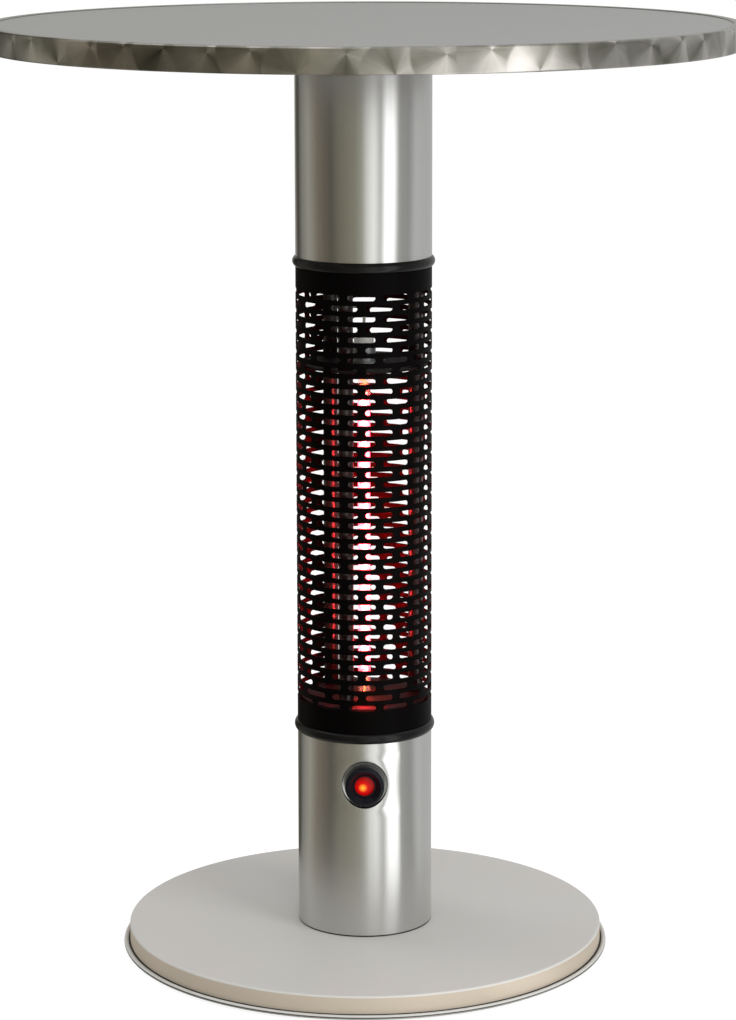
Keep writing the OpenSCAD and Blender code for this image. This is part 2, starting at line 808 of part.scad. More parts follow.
// The body plugs into the bezel's barrel and takes the button's stem in a blind hole
module switch_body() {
  color([0.12, 0.12, 0.13]) switch_frame() translate([0, 0, -barrel_l]) difference() {
    union() {
      cylinder(r = bezel_bore_r - fit_gap, h = switch_plug_l);
      translate([0, 0, -switch_body_l]) cylinder(r = switch_body_r, h = switch_body_l);
    }
    translate([0, 0, -button_travel]) cylinder(r = stem_r + fit_gap, h = switch_plug_l + button_travel + 1);
  }
}

module switch_tabs() {
  color(brass_colour) switch_frame() for (sx = [-1, 1]) for (sy = [-1, 1])
    translate([sx * tab_spread - tab_t / 2, sy * tab_spread - tab_w / 2, -barrel_l - switch_body_l - tab_l])
      cube([tab_t, tab_w, tab_l]);
}

spring_low = -barrel_l + switch_plug_l;
spring_high = button_front - button_l;
spring_rise = spring_high - spring_low - spring_wire - 2 * fit_gap;
spring_path = [
  for (i = [0 : spring_turns * rings_per_turn])
    let (turn = i / rings_per_turn)
    [spring_d / 2 * cos(360 * turn), spring_d / 2 * sin(360 * turn),
     spring_low + spring_wire / 2 + fit_gap + spring_rise * turn / spring_turns]
];
echo(spring_gap_to_itself_mm = gap_to_itself(spring_path, spring_wire));

module switch_spring() {
  color(zinc_colour) switch_frame() tube_along(spring_path, spring_wire / 2, 6);
}

module button_cap() {
  color(black_colour) switch_frame() difference() {
    union() {
      translate([0, 0, button_front - button_l]) cylinder(r = button_r, h = button_l);
      translate([0, 0, button_front - button_l - stem_l]) cylinder(r = stem_r, h = stem_l + 1);
    }
    translate([0, 0, button_front - lens_l + 1]) cylinder(r = lens_d / 2 + fit_gap / 2, h = lens_l);
  }
}

module button_lens() {
  color([0.9, 0.05, 0.05]) switch_frame() translate([0, 0, button_front - lens_l + 1])
    rotate_extrude() intersection() {
      square([lens_d / 2, lens_l]);
      translate([0, lens_l - lens_d]) circle(r = lens_d);
    }
}

// Electrics

module bracket_screw_places() {
  for (side = [-1, 1]) translate([side * bracket_w / 3, bracket_back + bracket_flange_l / 2,
                                  lower_tube_top - bulkhead_t - bracket_t]) children();
}

module equipment_bracket() {
  flange_low = lower_tube_top - bulkhead_t - bracket_t;
  color(zinc_colour) difference() {
    union() {
      translate([-bracket_w / 2, bracket_back, bracket_low]) cube([bracket_w, bracket_t, bracket_l]);
      translate([-bracket_w / 2, bracket_back, flange_low]) cube([bracket_w, bracket_flange_l, bracket_t]);
    }
    bracket_screw_places() translate([0, 0, -1])
      cylinder(r = bracket_screw_d / 2 + thread_gap, h = bracket_t + 2);
  }
}

module bracket_screws() {
  color(steel_colour) bracket_screw_places() mirror([0, 0, 1])
    pan_head_screw(bracket_screw_d, bracket_t + bulkhead_t + 2, 3.6, 2.4);
}

module clamp_places() {
  for (pole = [0 : block_poles - 1]) for (side = [-1, 1])
    translate(block_entry(pole) + [0, 0, side * block_h / 4 - block_h / 2]) rotate([90, 0, 0]) children();
}

module terminal_block() {
  color([0.90, 0.90, 0.87]) difference() {
    translate([-block_l / 2, bracket_back - block_depth, block_low]) cube([block_l, block_depth, block_h]);
    clamp_places() cylinder(r = clamp_r, h = block_depth);
    for (pole = [0 : block_poles - 2])
      translate(block_entry(pole) + [block_pitch / 2 - 0.5, -block_depth, -block_h - 1])
        cube([1, block_depth / 2 + 4, block_h + 2]);
  }
}

// Two clamp screws to each pole
module terminal_screws() {
  screw_l = block_depth / 2 - 1;
  slot_w = 0.6;
  color(brass_colour) clamp_places() difference() {
    cylinder(r = clamp_r - fit_gap, h = screw_l);
    translate([-clamp_r, -slot_w / 2, screw_l - 0.8]) cube([2 * clamp_r, slot_w, 1]);
  }
}

module tilt_switch_case() {
  color(black_colour) difference() {
    translate([-tilt_w / 2, bracket_face_y, tilt_low]) cube([tilt_w, tilt_depth, tilt_h]);
    translate([-tilt_w / 2 + tilt_wall, bracket_face_y + tilt_wall, tilt_low + tilt_wall])
      cube([tilt_w - 2 * tilt_wall, tilt_depth, tilt_h - 2 * tilt_wall]);
    translate([0, 0, pin_z]) rotate([-90, 0, 0]) cylinder(r = pin_r, h = tilt_cover_y);
  }
}

module tilt_switch_cover() {
  color([0.2, 0.2, 0.2]) difference() {
    translate([-tilt_w / 2, tilt_cover_y, tilt_low]) cube([tilt_w, tilt_wall, tilt_h]);
    translate([0, 0, pin_z]) rotate([-90, 0, 0]) cylinder(r = pin_r, h = tilt_cover_y + 5);
  }
}

module tilt_pivot_pin() {
  color(steel_colour) translate([0, bracket_face_y, pin_z]) rotate([-90, 0, 0])
    cylinder(r = pin_r, h = tilt_depth + tilt_wall);
}

module tilt_pendulum() {
  color(brass_colour) translate([0, bob_y - bob_t / 2, pin_z]) rotate([-90, 0, 0]) difference() {
    union() {
      cylinder(r = pin_r + 1.8, h = bob_t);
      translate([-1.2, 0, 0]) cube([2.4, bob_drop, bob_t]);
      translate([0, bob_drop, 0]) cylinder(r = bob_r, h = bob_t);
    }
    translate([0, 0, -1]) cylinder(r = pin_r + 0.05, h = bob_t + 2);
  }
}

// Bimetal cut-out with a metal cup against the bulkhead, a plastic body and two blade tabs
module thermal_cutout() {
  color([0.75, 0.75, 0.72]) translate([cutout_x, cutout_y, cutout_low]) {
    translate([0, 0, cutout_body_h]) cylinder(r = cutout_r, h = cutout_cup_h);
    cylinder(r = cutout_r - 1, h = cutout_body_h);
    for (side = [-1, 1]) translate([side * cutout_tab_x - tab_w / 4, -tab_t / 2, -tab_l])
      cube([tab_w / 2, tab_t, tab_l + 1]);
  }
}

tab_end_y = -(seat_y - barrel_l - switch_body_l - tab_l);
function tab_end(side, up) = [side * tab_spread, tab_end_y, switch_z + up * tab_spread];
function cutout_tab(side) = [cutout_x + side * cutout_tab_x, cutout_y, cutout_low - tab_l];
earth_point = [14, 14, base_h + foot_flange_t];
wire_routes = [
  [tab_end(-1, -1), tab_end(-1, -1) + [0, 3, 0], tab_end(-1, -1) + [0, 6, 0], block_entry(1) + [-3, 0, 22],
   block_entry(1) + [0, 0, 12], block_entry(1) + [0, 0, 6], block_entry(1)],
  [tab_end(1, -1), tab_end(1, -1) + [0, 3, 0], tab_end(1, -1) + [0, 6, 0], block_entry(3) + [2, 0, 22],
   block_entry(3) + [0, 0, 12], block_entry(3) + [0, 0, 6], block_entry(3)],
  [cutout_tab(-1), cutout_tab(-1) + [0, 0, -4], cutout_tab(-1) + [0, 0, -7], tab_end(1, 1) + [7, 7, 0],
   tab_end(1, 1) + [0, 6, 0], tab_end(1, 1) + [0, 3, 0], tab_end(1, 1)],
  [block_entry(2), block_entry(2) + [0, 0, 6], block_entry(2) + [0, 0, 10], [0, -7, block_low + block_h + 10],
   [3, -15, block_low + block_h - 4], [6, -16, block_low - 4], earth_point + [0, -12, 24],
   earth_point + [0, 0, 14], earth_point + [0, 0, 7], earth_point]
];

module internal_wires() {
  color([0.35, 0.30, 0.28]) for (route = wire_routes) tube_along(curve(route, 4), wire_d / 2, 8);
}

// Gland

module gland_frame() {
  pointing_out(180, gland_z) children();
}

// The flange of the gland is cut to the curve of the column
module gland_body() {
  thread_l = 11;
  color(black_colour) difference() {
    union() {
      difference() {
        gland_frame() translate([0, 0, column_r - 5]) hex_prism(gland_af, gland_flange_t + 5);
        translate([0, 0, gland_z - gland_af]) cylinder(r = column_r, h = 2 * gland_af);
      }
      gland_frame() translate([0, 0, column_r - thread_l]) cylinder(r = gland_thread_r, h = thread_l + 1);
      gland_frame() translate([0, 0, column_r]) cylinder(r = gland_neck_r, h = gland_flange_t + gland_neck_l);
    }
    gland_frame() translate([0, 0, column_r - thread_l - 1])
      cylinder(r = cord_r + cord_gap, h = thread_l + gland_flange_t + gland_neck_l + 2);
    gland_frame() translate([0, 0, gland_neck_y + gland_neck_l - seal_l])
      cylinder(r = gland_bore_r, h = seal_l + 1);
  }
}

module gland_seal() {
  color(rubber_colour) gland_frame()
    ring(cord_r + seal_wall, cord_r, gland_neck_y + gland_neck_l - seal_l, seal_l);
}

module gland_dome_nut() {
  nut_low = gland_neck_y + 0.6;
  nut_l = gland_neck_l - 0.6 + dome_front_t;
  color(black_colour) gland_frame() difference() {
    intersection() {
      translate([0, 0, nut_low]) hex_prism(dome_af, nut_l);
      translate([0, 0, nut_low + nut_l - dome_af]) sphere(r = dome_af);
    }
    translate([0, 0, nut_low - 1]) cylinder(r = gland_neck_r + thread_gap, h = gland_neck_l + 0.4);
    translate([0, 0, nut_low]) cylinder(r = cord_r + 0.6, h = nut_l + 1);
  }
}

module gland_lock_nut() {
  nut_top = sqrt(tube_in_r * tube_in_r - gland_af * gland_af / 3);
  color(black_colour) gland_frame() translate([0, 0, nut_top - lock_nut_h]) difference() {
    hex_prism(gland_af, lock_nut_h);
    translate([0, 0, -1]) cylinder(r = gland_thread_r + thread_gap, h = lock_nut_h + 2);
  }
}

// Base

module bolt_places() {
  for (i = [0 : bolt_count - 1]) round_the_column(45 + i * 360 / bolt_count, bolt_circle_r) children();
}

module foot_places() {
  for (i = [0 : foot_count - 1]) round_the_column(i * 360 / foot_count, foot_circle_r) children();
}

module column_foot_flange() {
  collar_r = tube_in_r - fit_gap;
  color(zinc_colour) difference() {
    translate([0, 0, base_h]) cylinder(r = collar_r, h = foot_collar_h);
    translate([0, 0, base_h + foot_flange_t]) cylinder(r = collar_r - collar_wall, h = foot_collar_h);
    bolt_places() translate([0, 0, base_h - 1]) cylinder(r = bolt_d / 2 + thread_gap, h = foot_flange_t + 2);
    for (turn = foot_screw_turns) pointing_out(turn, foot_screw_row_z)
      translate([0, 0, collar_r - collar_wall - 1]) cylinder(r = column_screw_d / 2 + thread_gap, h = 20);
  }
}

module base_cover() {
  skirt_h = base_h - pan_top;
  color(steel_colour) difference() {
    translate([0, 0, pan_top]) rotate_extrude($fn = 180) difference() {
      union() {
        square([cover_r - cover_round, skirt_h]);
        square([cover_r, skirt_h - cover_round]);
        translate([cover_r - cover_round, skirt_h - cover_round]) circle(r = cover_round);
      }
      translate([0, -1]) square([cover_r - cover_round, skirt_h - cover_sheet + 1]);
      translate([0, -1]) square([cover_r - cover_sheet, skirt_h - cover_round + 1]);
      translate([cover_r - cover_round, skirt_h - cover_round]) circle(r = cover_round - cover_sheet);
    }
    bolt_places() cylinder(r = bolt_d / 2 + bolt_gap, h = base_h + 1);
  }
}

module base_weight() {
  color([0.25, 0.25, 0.26]) difference() {
    translate([0, 0, pan_top]) cylinder(d = weight_d, h = weight_top - pan_top, $fn = 180);
    bolt_places() cylinder(r = bolt_d / 2 + bolt_gap, h = base_h + 1);
    bolt_places() cylinder(r = bolt_pocket_r, h = pan_top + bolt_pocket_h);
    foot_places() cylinder(r = foot_screw_d / 2 + thread_gap, h = foot_screw_seat + foot_screw_l + 1);
  }
}

// Flat pan with a rolled rim that stands round the cover
module base_pan() {
  color(steel_colour) difference() {
    rotate_extrude($fn = 180) {
      translate([0, pan_low]) square([rim_circle_r, pan_sheet]);
      translate([rim_circle_r, rim_z]) circle(r = rim_r);
    }
    bolt_places() translate([0, 0, -1]) cylinder(r = bolt_pocket_r, h = pan_top + 2);
    foot_places() translate([0, 0, -1]) cylinder(r = foot_screw_d / 2 + bolt_gap, h = pan_top + 2);
  }
}

module base_bolts() {
  head_top = pan_top + bolt_pocket_h;
  color(zinc_colour) bolt_places() translate([0, 0, head_top]) {
    translate([0, 0, -bolt_head_h]) hex_prism(bolt_head_af, bolt_head_h);
    cylinder(d = bolt_d, h = base_h + foot_flange_t + 4 - head_top);
  }
}

module rubber_feet() {
  color(rubber_colour) foot_places() difference() {
    cylinder(d = foot_d, h = foot_h);
    translate([0, 0, -1]) cylinder(r = foot_screw_d / 2 + bolt_gap, h = foot_h + 2);
    translate([0, 0, -1]) cylinder(r = foot_head_r + 0.4, h = foot_screw_seat + 1);
  }
}

module foot_screws() {
  color(zinc_colour) foot_places() translate([0, 0, foot_screw_seat]) mirror([0, 0, 1])
    pan_head_screw(foot_screw_d, foot_screw_l, foot_head_r, foot_head_h);
}

top_board();
top_skin();
edge_band();
top_flange();
top_flange_screws();
upper_tube();
upper_bulkhead();
upper_trim_ring();
guard();
lower_trim_ring();
lower_bulkhead();
tie_rods();
tie_rod_nuts();
lower_spacers();
front_post();
right_post();
rear_post();
upper_spacers();
upper_lamp_plate();
lower_lamp_plate();
quartz_tube();
filament();
upper_end_cap();
lower_end_cap();
upper_lamp_holder();
lower_lamp_holder();
lamp_holder_screws();
upper_lamp_lead();
lower_lamp_lead();
lower_tube();
column_screws();
switch_bezel();
switch_gasket();
switch_body();
switch_nut();
switch_tabs();
switch_spring();
button_cap();
button_lens();
equipment_bracket();
bracket_screws();
terminal_block();
terminal_screws();
tilt_switch_case();
tilt_switch_cover();
tilt_pivot_pin();
tilt_pendulum();
thermal_cutout();
internal_wires();
gland_body();
gland_dome_nut();
gland_lock_nut();
gland_seal();
column_foot_flange();
base_cover();
base_weight();
base_pan();
base_bolts();
rubber_feet();
foot_screws();
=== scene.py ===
"""Looks of a heated patio table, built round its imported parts.

What shows is modelled with Blender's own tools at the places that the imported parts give.
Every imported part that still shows, inside and out, is dressed in a material of its own.
Lengths are in millimetres and angles in degrees, unless a docstring says otherwise.
"""

import json
import logging
import math
from abc import ABC, abstractmethod
from collections.abc import Callable, Mapping, Sequence
from dataclasses import dataclass
from enum import Enum
from typing import Any

import bmesh
import bpy
from mathutils import Matrix, Vector


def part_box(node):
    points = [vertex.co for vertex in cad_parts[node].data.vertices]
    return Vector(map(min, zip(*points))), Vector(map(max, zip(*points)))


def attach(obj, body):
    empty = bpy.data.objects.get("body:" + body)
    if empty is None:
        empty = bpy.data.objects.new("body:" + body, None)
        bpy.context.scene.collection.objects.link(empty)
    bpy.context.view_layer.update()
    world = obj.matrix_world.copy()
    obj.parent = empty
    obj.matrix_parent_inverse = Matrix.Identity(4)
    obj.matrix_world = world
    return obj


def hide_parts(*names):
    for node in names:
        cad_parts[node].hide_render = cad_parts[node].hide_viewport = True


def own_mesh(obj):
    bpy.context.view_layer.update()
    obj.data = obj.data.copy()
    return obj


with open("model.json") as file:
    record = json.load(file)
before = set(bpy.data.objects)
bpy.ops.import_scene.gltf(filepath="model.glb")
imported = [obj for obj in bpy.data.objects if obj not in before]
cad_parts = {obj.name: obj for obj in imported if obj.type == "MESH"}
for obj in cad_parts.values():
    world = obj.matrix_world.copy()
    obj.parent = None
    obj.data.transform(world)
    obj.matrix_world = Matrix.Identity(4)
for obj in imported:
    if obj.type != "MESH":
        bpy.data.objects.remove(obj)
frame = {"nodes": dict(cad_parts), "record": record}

LOG = logging.getLogger("heated_table")
MM = 0.001
MERGE = 0.004 * MM
QUARTER = math.radians(90)
Point = tuple[float, float]
Colour = tuple[float, float, float]
WHITE: Colour = (1.0, 1.0, 1.0)
PHOTO_WIDTH = 736
PHOTO_HEIGHT = 1020


class Slot(str, Enum):
    """The record's material slots."""

    BOARD = "board"
    TOP_SKIN = "top_skin"
    EDGE_BAND = "edge_band"
    TUBE = "brushed_tube"
    BASE = "base_steel"
    GLOSS_BLACK = "gloss_black"
    GUARD = "black_enamel"
    POST = "post_enamel"
    HEAT_PLATE = "heat_plate"
    ZINC = "zinc_steel"
    QUARTZ = "quartz"
    FILAMENT = "filament"
    CERAMIC = "ceramic"
    BRAID = "glass_braid"
    RUBBER = "rubber"
    SWITCH = "switch_black"
    LENS = "red_lens"
    BRASS = "brass"
    BLOCK = "block_plastic"
    WIRE = "wire_sleeve"
    CAST = "cast_weight"


class Body(str, Enum):
    """The bodies that pieces ride on."""

    TABLE = "root"
    BUTTON = "button"


# Shader graphs


class Value:
    """One shader output. Python's operators on it add Math nodes."""

    def __init__(self, graph: "Graph", socket: bpy.types.NodeSocket) -> None:
        """Keeps the graph and the output socket."""
        self.graph = graph
        self.socket = socket

    def math(self, operation: str, *others: "Value | float") -> "Value":
        """Adds a Math node whose first input is this value.

        Args:
            operation: The Math node's operation.
            others: The values of its other inputs.

        Returns:
            The node's output.
        """
        return self.graph.add("ShaderNodeMath", {"operation": operation}, dict(enumerate((self, *others))))

    def __add__(self, other: "Value | float") -> "Value":
        """Adds."""
        return self.math("ADD", other)

    __radd__ = __add__

    def __mul__(self, other: "Value | float") -> "Value":
        """Multiplies."""
        return self.math("MULTIPLY", other)

    __rmul__ = __mul__

    def __sub__(self, other: "Value | float") -> "Value":
        """Subtracts the other."""
        return self.math("SUBTRACT", other)

    def __rsub__(self, other: float) -> "Value":
        """Subtracts this from the other."""
        return self.graph.add("ShaderNodeMath", {"operation": "SUBTRACT"}, {0: other, 1: self})

    def __truediv__(self, other: "Value | float") -> "Value":
        """Divides by the other."""
        return self.math("DIVIDE", other)

    def __gt__(self, other: "Value | float") -> "Value":
        """Gives 1 where this is the greater."""
        return self.math("GREATER_THAN", other)

    def __pow__(self, other: float) -> "Value":
        """Raises to a power."""
        return self.math("POWER", other)

    def clamped(self) -> "Value":
        """Gives the value held between 0 and 1."""
        return self.graph.add("ShaderNodeClamp", {}, {0: self})

    def past(self, start: float, soft: float) -> "Value":
        """Gives 0 up to a start, and 1 from a soft width beyond it."""
        return ((self - start) / soft).clamped()

    def before(self, end: float, soft: float) -> "Value":
        """Gives 1 up to a soft width before an end, and 0 from the end on."""
        return ((end - self) / soft).clamped()

    def within(self, low: float, high: float, soft: float) -> "Value":
        """Gives 1 between two bounds and 0 outside them, with soft widths inside both."""
        return self.past(low, soft) * self.before(high, soft)

    def named(self, output: str) -> "Value":
        """Gives another output of the same node."""
        return Value(self.graph, self.socket.node.outputs[output])


class Graph:
    """A node tree, to which nodes are added by their type."""

    def __init__(self, tree: bpy.types.NodeTree) -> None:
        """Keeps the tree."""
        self.tree = tree

    def add(self, kind: str, settings: Mapping[str, Any] | None = None,
            inputs: Mapping[int | str, Any] | None = None, output: int | str = 0) -> Value:
        """Adds one node.

        Args:
            kind: The node's type.
            settings: Its settings, and for a ramp its stops, which are set first.
            inputs: Numbers, colours or values for its sockets.
            output: The output that is wanted.

        Returns:
            That output.
        """
        node = self.tree.nodes.new(kind)
        for key, setting in (settings or {}).items():
            if key == "stops":
                ramp = node.color_ramp
                while len(ramp.elements) < len(setting):
                    ramp.elements.new(0.5)
                for element, (place, colour) in zip(ramp.elements, setting):
                    element.position = place
                    element.color = (*colour, 1.0)
            else:
                setattr(node, key, setting)
        for key, value in (inputs or {}).items():
            self.feed(node.inputs[key], value)
        return Value(self, node.outputs[output])

    def feed(self, socket: bpy.types.NodeSocket, value: Any) -> None:
        """Links a value to a socket, or writes a plain number or colour on it.

        Args:
            socket: The socket.
            value: The value, number or colour.
        """
        if isinstance(value, Value):
            self.tree.links.new(value.socket, socket)
        elif isinstance(value, tuple) and len(value) == 3 and socket.type == "RGBA":
            socket.default_value = (*value, 1.0)
        else:
            socket.default_value = value

    def mix_shaders(self, share: Value, first: Value, second: Value) -> Value:
        """Gives the first shader where the share is 0 and the second where it is 1."""
        return self.add("ShaderNodeMixShader", {}, {0: share, 1: first, 2: second})


class Surface(Graph):
    """The node tree of one material."""

    def __init__(self, name: str) -> None:
        """Makes the material with its Principled shader.

        Args:
            name: The material's name.
        """
        self.material = bpy.data.materials.new(name)
        self.material.use_nodes = True
        super().__init__(self.material.node_tree)
        self.principled = self.tree.nodes["Principled BSDF"]

    def shade(self, **inputs: Any) -> None:
        """Sets sockets of the Principled shader, with underscores for the spaces in their names."""
        for key, value in inputs.items():
            self.feed(self.principled.inputs[key.replace("_", " ")], value)

    def end(self, shader: Value) -> None:
        """Links a shader to the material's output in place of the Principled shader."""
        self.feed(self.tree.nodes["Material Output"].inputs[0], shader)

    def place(self, scale: Sequence[float] = (1.0, 1.0, 1.0)) -> Value:
        """Gives object coordinates in millimetres times a scale along each axis."""
        coordinates = self.add("ShaderNodeTexCoord", {}, {}, "Object")
        return self.add("ShaderNodeMapping", {}, {"Vector": coordinates, "Scale": tuple(s / MM for s in scale)})

    def split(self, scale: float = 1.0) -> tuple[Value, Value, Value]:
        """Gives the three object coordinates in millimetres times a scale."""
        parts = self.add("ShaderNodeSeparateXYZ", {}, {0: self.place((scale, scale, scale))})
        return parts, parts.named("Y"), parts.named("Z")

    def turn(self) -> Value:
        """Gives the turn round the column's axis, from the front towards the right, in radians."""
        x, y, _ = self.split()
        return x.math("ARCTAN2", y * -1.0)

    def away(self) -> Value:
        """Gives the distance from the column's axis."""
        x, y, _ = self.split()
        return (x * x + y * y) ** 0.5

    def height(self) -> Value:
        """Gives the height over the floor."""
        return self.split()[2]

    def noise(self, place: Value, scale: float, detail: float = 3.0, rough: float = 0.5) -> Value:
        """Gives noise from 0 to 1 at a place."""
        inputs = {"Vector": place, "Scale": scale, "Detail": detail, "Roughness": rough}
        return self.add("ShaderNodeTexNoise", {}, inputs, "Fac")

    def vector(self, x: Value | float, y: Value | float, z: Value | float = 0.0) -> Value:
        """Joins three values to a vector."""
        return self.add("ShaderNodeCombineXYZ", {}, {0: x, 1: y, 2: z})

    def blend(self, share: Value, first: Value | Colour, second: Value | Colour) -> Value:
        """Mixes two colours.

        Args:
            share: The second colour's share.
            first: The colour where the share is 0.
            second: The colour where the share is 1.

        Returns:
            The mixed colour.
        """
        colour_a, colour_b, result = 6, 7, 2
        inputs = {0: share, colour_a: first, colour_b: second}
        return self.add("ShaderNodeMix", {"data_type": "RGBA"}, inputs, result)

    def worn(self, rough: float, grain: Value, share: float = 0.15) -> Value:
        """Gives a roughness that a grain from 0 to 1 moves up and down by a share of itself."""
        return rough * (1.0 - share) + grain * (rough * 2.0 * share)

    def bump(self, height: Value, depth: float, strength: float = 1.0) -> None:
        """Feeds a height from 0 to 1 to the shader's normal.

        Args:
            height: The height.
            depth: What a height of 1 means.
            strength: The Bump node's strength.
        """
        inputs = {"Height": height, "Distance": depth * MM, "Strength": strength}
        self.shade(Normal=self.add("ShaderNodeBump", {}, inputs))


# Finishes


def shades(colour: Colour, darker: float, paler: float) -> tuple[Colour, Colour]:
    """Gives a colour made darker and made paler, each by a share of itself."""
    dark, pale = (tuple(min(1.0, c * level) for c in colour) for level in (1.0 - darker, 1.0 + paler))
    return dark, pale


class Look(ABC):
    """What a surface is finished with."""

    @abstractmethod
    def lay(self, graph: Surface) -> None:
        """Lays the finish on a new material's graph."""


@dataclass(frozen=True)
class Finish(Look):
    """A plain finish with faint variation of tone and gloss."""

    colour: Colour
    rough: float = 0.5
    metal: float = 0.0
    tone: float = 0.08
    grain: float = 0.35
    depth: float = 0.02
    shine: float = 0.5
    mottle: float = 0.1

    def lay(self, graph: Surface) -> None:
        """Lays a slow mottle of tones under a fine grain.

        Args:
            graph: The new material's graph.
        """
        mottle = graph.noise(graph.place(), scale=self.grain * self.mottle)
        grain = graph.noise(graph.place(), scale=self.grain, detail=4.0)
        graph.shade(Base_Color=graph.blend(mottle, *shades(self.colour, self.tone, self.tone)),
                    Metallic=self.metal, Roughness=graph.worn(self.rough, grain), Specular_IOR_Level=self.shine)
        graph.bump(grain, self.depth)


@dataclass(frozen=True)
class TubeSteel(Look):
    """Bright stainless tube, brushed along its length, with a painted shadow line where it stands on the base."""

    colour: Colour = (0.62, 0.62, 0.61)
    # Painted shadow line at the tube's foot.
    painted_foot_shadow: Colour = (0.05, 0.05, 0.048)
    darker: float = 0.14
    paler: float = 0.12
    rough: float = 0.24
    spread: float = 0.9
    spread_turn: float = 0.25
    lines_round: float = 55.0
    line_length: float = 0.02
    cloud_length: float = 0.004
    line_share: float = 0.6
    cloud_share: float = 0.4
    foot: float = 20.9
    foot_soft: float = 0.5
    depth: float = 0.004

    def lay(self, graph: Surface) -> None:
        """Lays fine and broad brush lines, and a painted shadow line at the foot.

        Args:
            graph: The new material's graph.
        """
        turn, height = graph.turn(), graph.height()
        lines = graph.noise(graph.vector(turn * self.lines_round, height * self.line_length),
                            scale=3.2, detail=4.0, rough=0.65)
        broad = graph.noise(graph.vector(turn * self.lines_round, height * self.cloud_length),
                            scale=0.35, detail=2.0)
        steel = graph.blend(lines * self.line_share + broad * self.cloud_share,
                            *shades(self.colour, self.darker, self.paler))
        # Below the foot height the colour is a painted shadow line.
        graph.shade(Base_Color=graph.blend(height.past(self.foot, self.foot_soft), self.painted_foot_shadow, steel),
                    Metallic=1.0, Roughness=graph.worn(self.rough, lines, share=0.2),
                    Anisotropic=self.spread, Anisotropic_Rotation=self.spread_turn)
        graph.bump(lines, self.depth)


@dataclass(frozen=True)
class Enamel(Look):
    """Black enamel of the guard, with the red light of the lamp painted on its inner faces."""

    outer: Colour = (0.0012, 0.0009, 0.0009)
    # Red light of the lamp, painted on the inner faces.
    inner: Colour = (0.030, 0.0008, 0.0018)
    skin: float = 54.4
    skin_soft: float = 0.125
    rough: float = 0.45
    shine: float = 0.03
    grain: float = 1.3
    depth: float = 0.02

    def lay(self, graph: Surface) -> None:
        """Lays the black outside and the lamp's red light, painted, inside of the sheet's middle, and a fine
        grain.

        Args:
            graph: The new material's graph.
        """
        grain = graph.noise(graph.place(), scale=self.grain, detail=4.0)
        # Inside the sheet's middle the colour is the lamp's red light, painted.
        graph.shade(Base_Color=graph.blend(graph.away().past(self.skin, self.skin_soft), self.inner, self.outer),
                    Roughness=graph.worn(self.rough, grain), Specular_IOR_Level=self.shine)
        graph.bump(grain, self.depth)


@dataclass(frozen=True)
class PaintedShadeRing:
    """A ring of painted shade and reflection on a sheet, between two heights and two radii."""

    low: float
    high: float
    inner: float
    outer: float
    colour: Colour
    soft: float = 0.2


@dataclass(frozen=True)
class SheetSteel(Look):
    """Satin sheet with fine straight streaks along X."""

    colour: Colour
    rough: float
    metal: float
    streak: float
    # Rings of painted shade and reflection.
    rings: tuple[PaintedShadeRing, ...] = ()
    run: tuple[float, float, float] = (0.012, 1.6, 1.6)
    streak_share: float = 0.55
    cloud: float = 0.012
    cloud_share: float = 0.45
    depth: float = 0.003

    def lay(self, graph: Surface) -> None:
        """Lays the streaks over slow clouds, and the rings of painted shade and reflection over both.

        Args:
            graph: The new material's graph.
        """
        streaks = graph.noise(graph.place(self.run), scale=1.0, detail=4.0, rough=0.6)
        cloud = graph.noise(graph.place(), scale=self.cloud, detail=2.0)
        tone = graph.blend(streaks * self.streak_share + cloud * self.cloud_share,
                           *shades(self.colour, self.streak, self.streak))
        if self.rings:
            tone = self.with_painted_shade(graph, tone)
        graph.shade(Base_Color=tone, Metallic=self.metal, Roughness=graph.worn(self.rough, streaks))
        graph.bump(streaks, self.depth)

    def with_painted_shade(self, graph: Surface, tone: Value) -> Value:
        """Lays the rings of painted shade and reflection over the sheet's own colour.

        Args:
            graph: The material's graph.
            tone: The sheet's own colour.

        Returns:
            The colour with the rings.
        """
        away, height = graph.away(), graph.height()
        for ring in self.rings:
            # Each ring lays its painted shade and reflection over the tone.
            inside = height.within(ring.low, ring.high, ring.soft) * away.within(ring.inner, ring.outer, ring.soft)
            tone = graph.blend(inside, tone, ring.colour)
        return tone


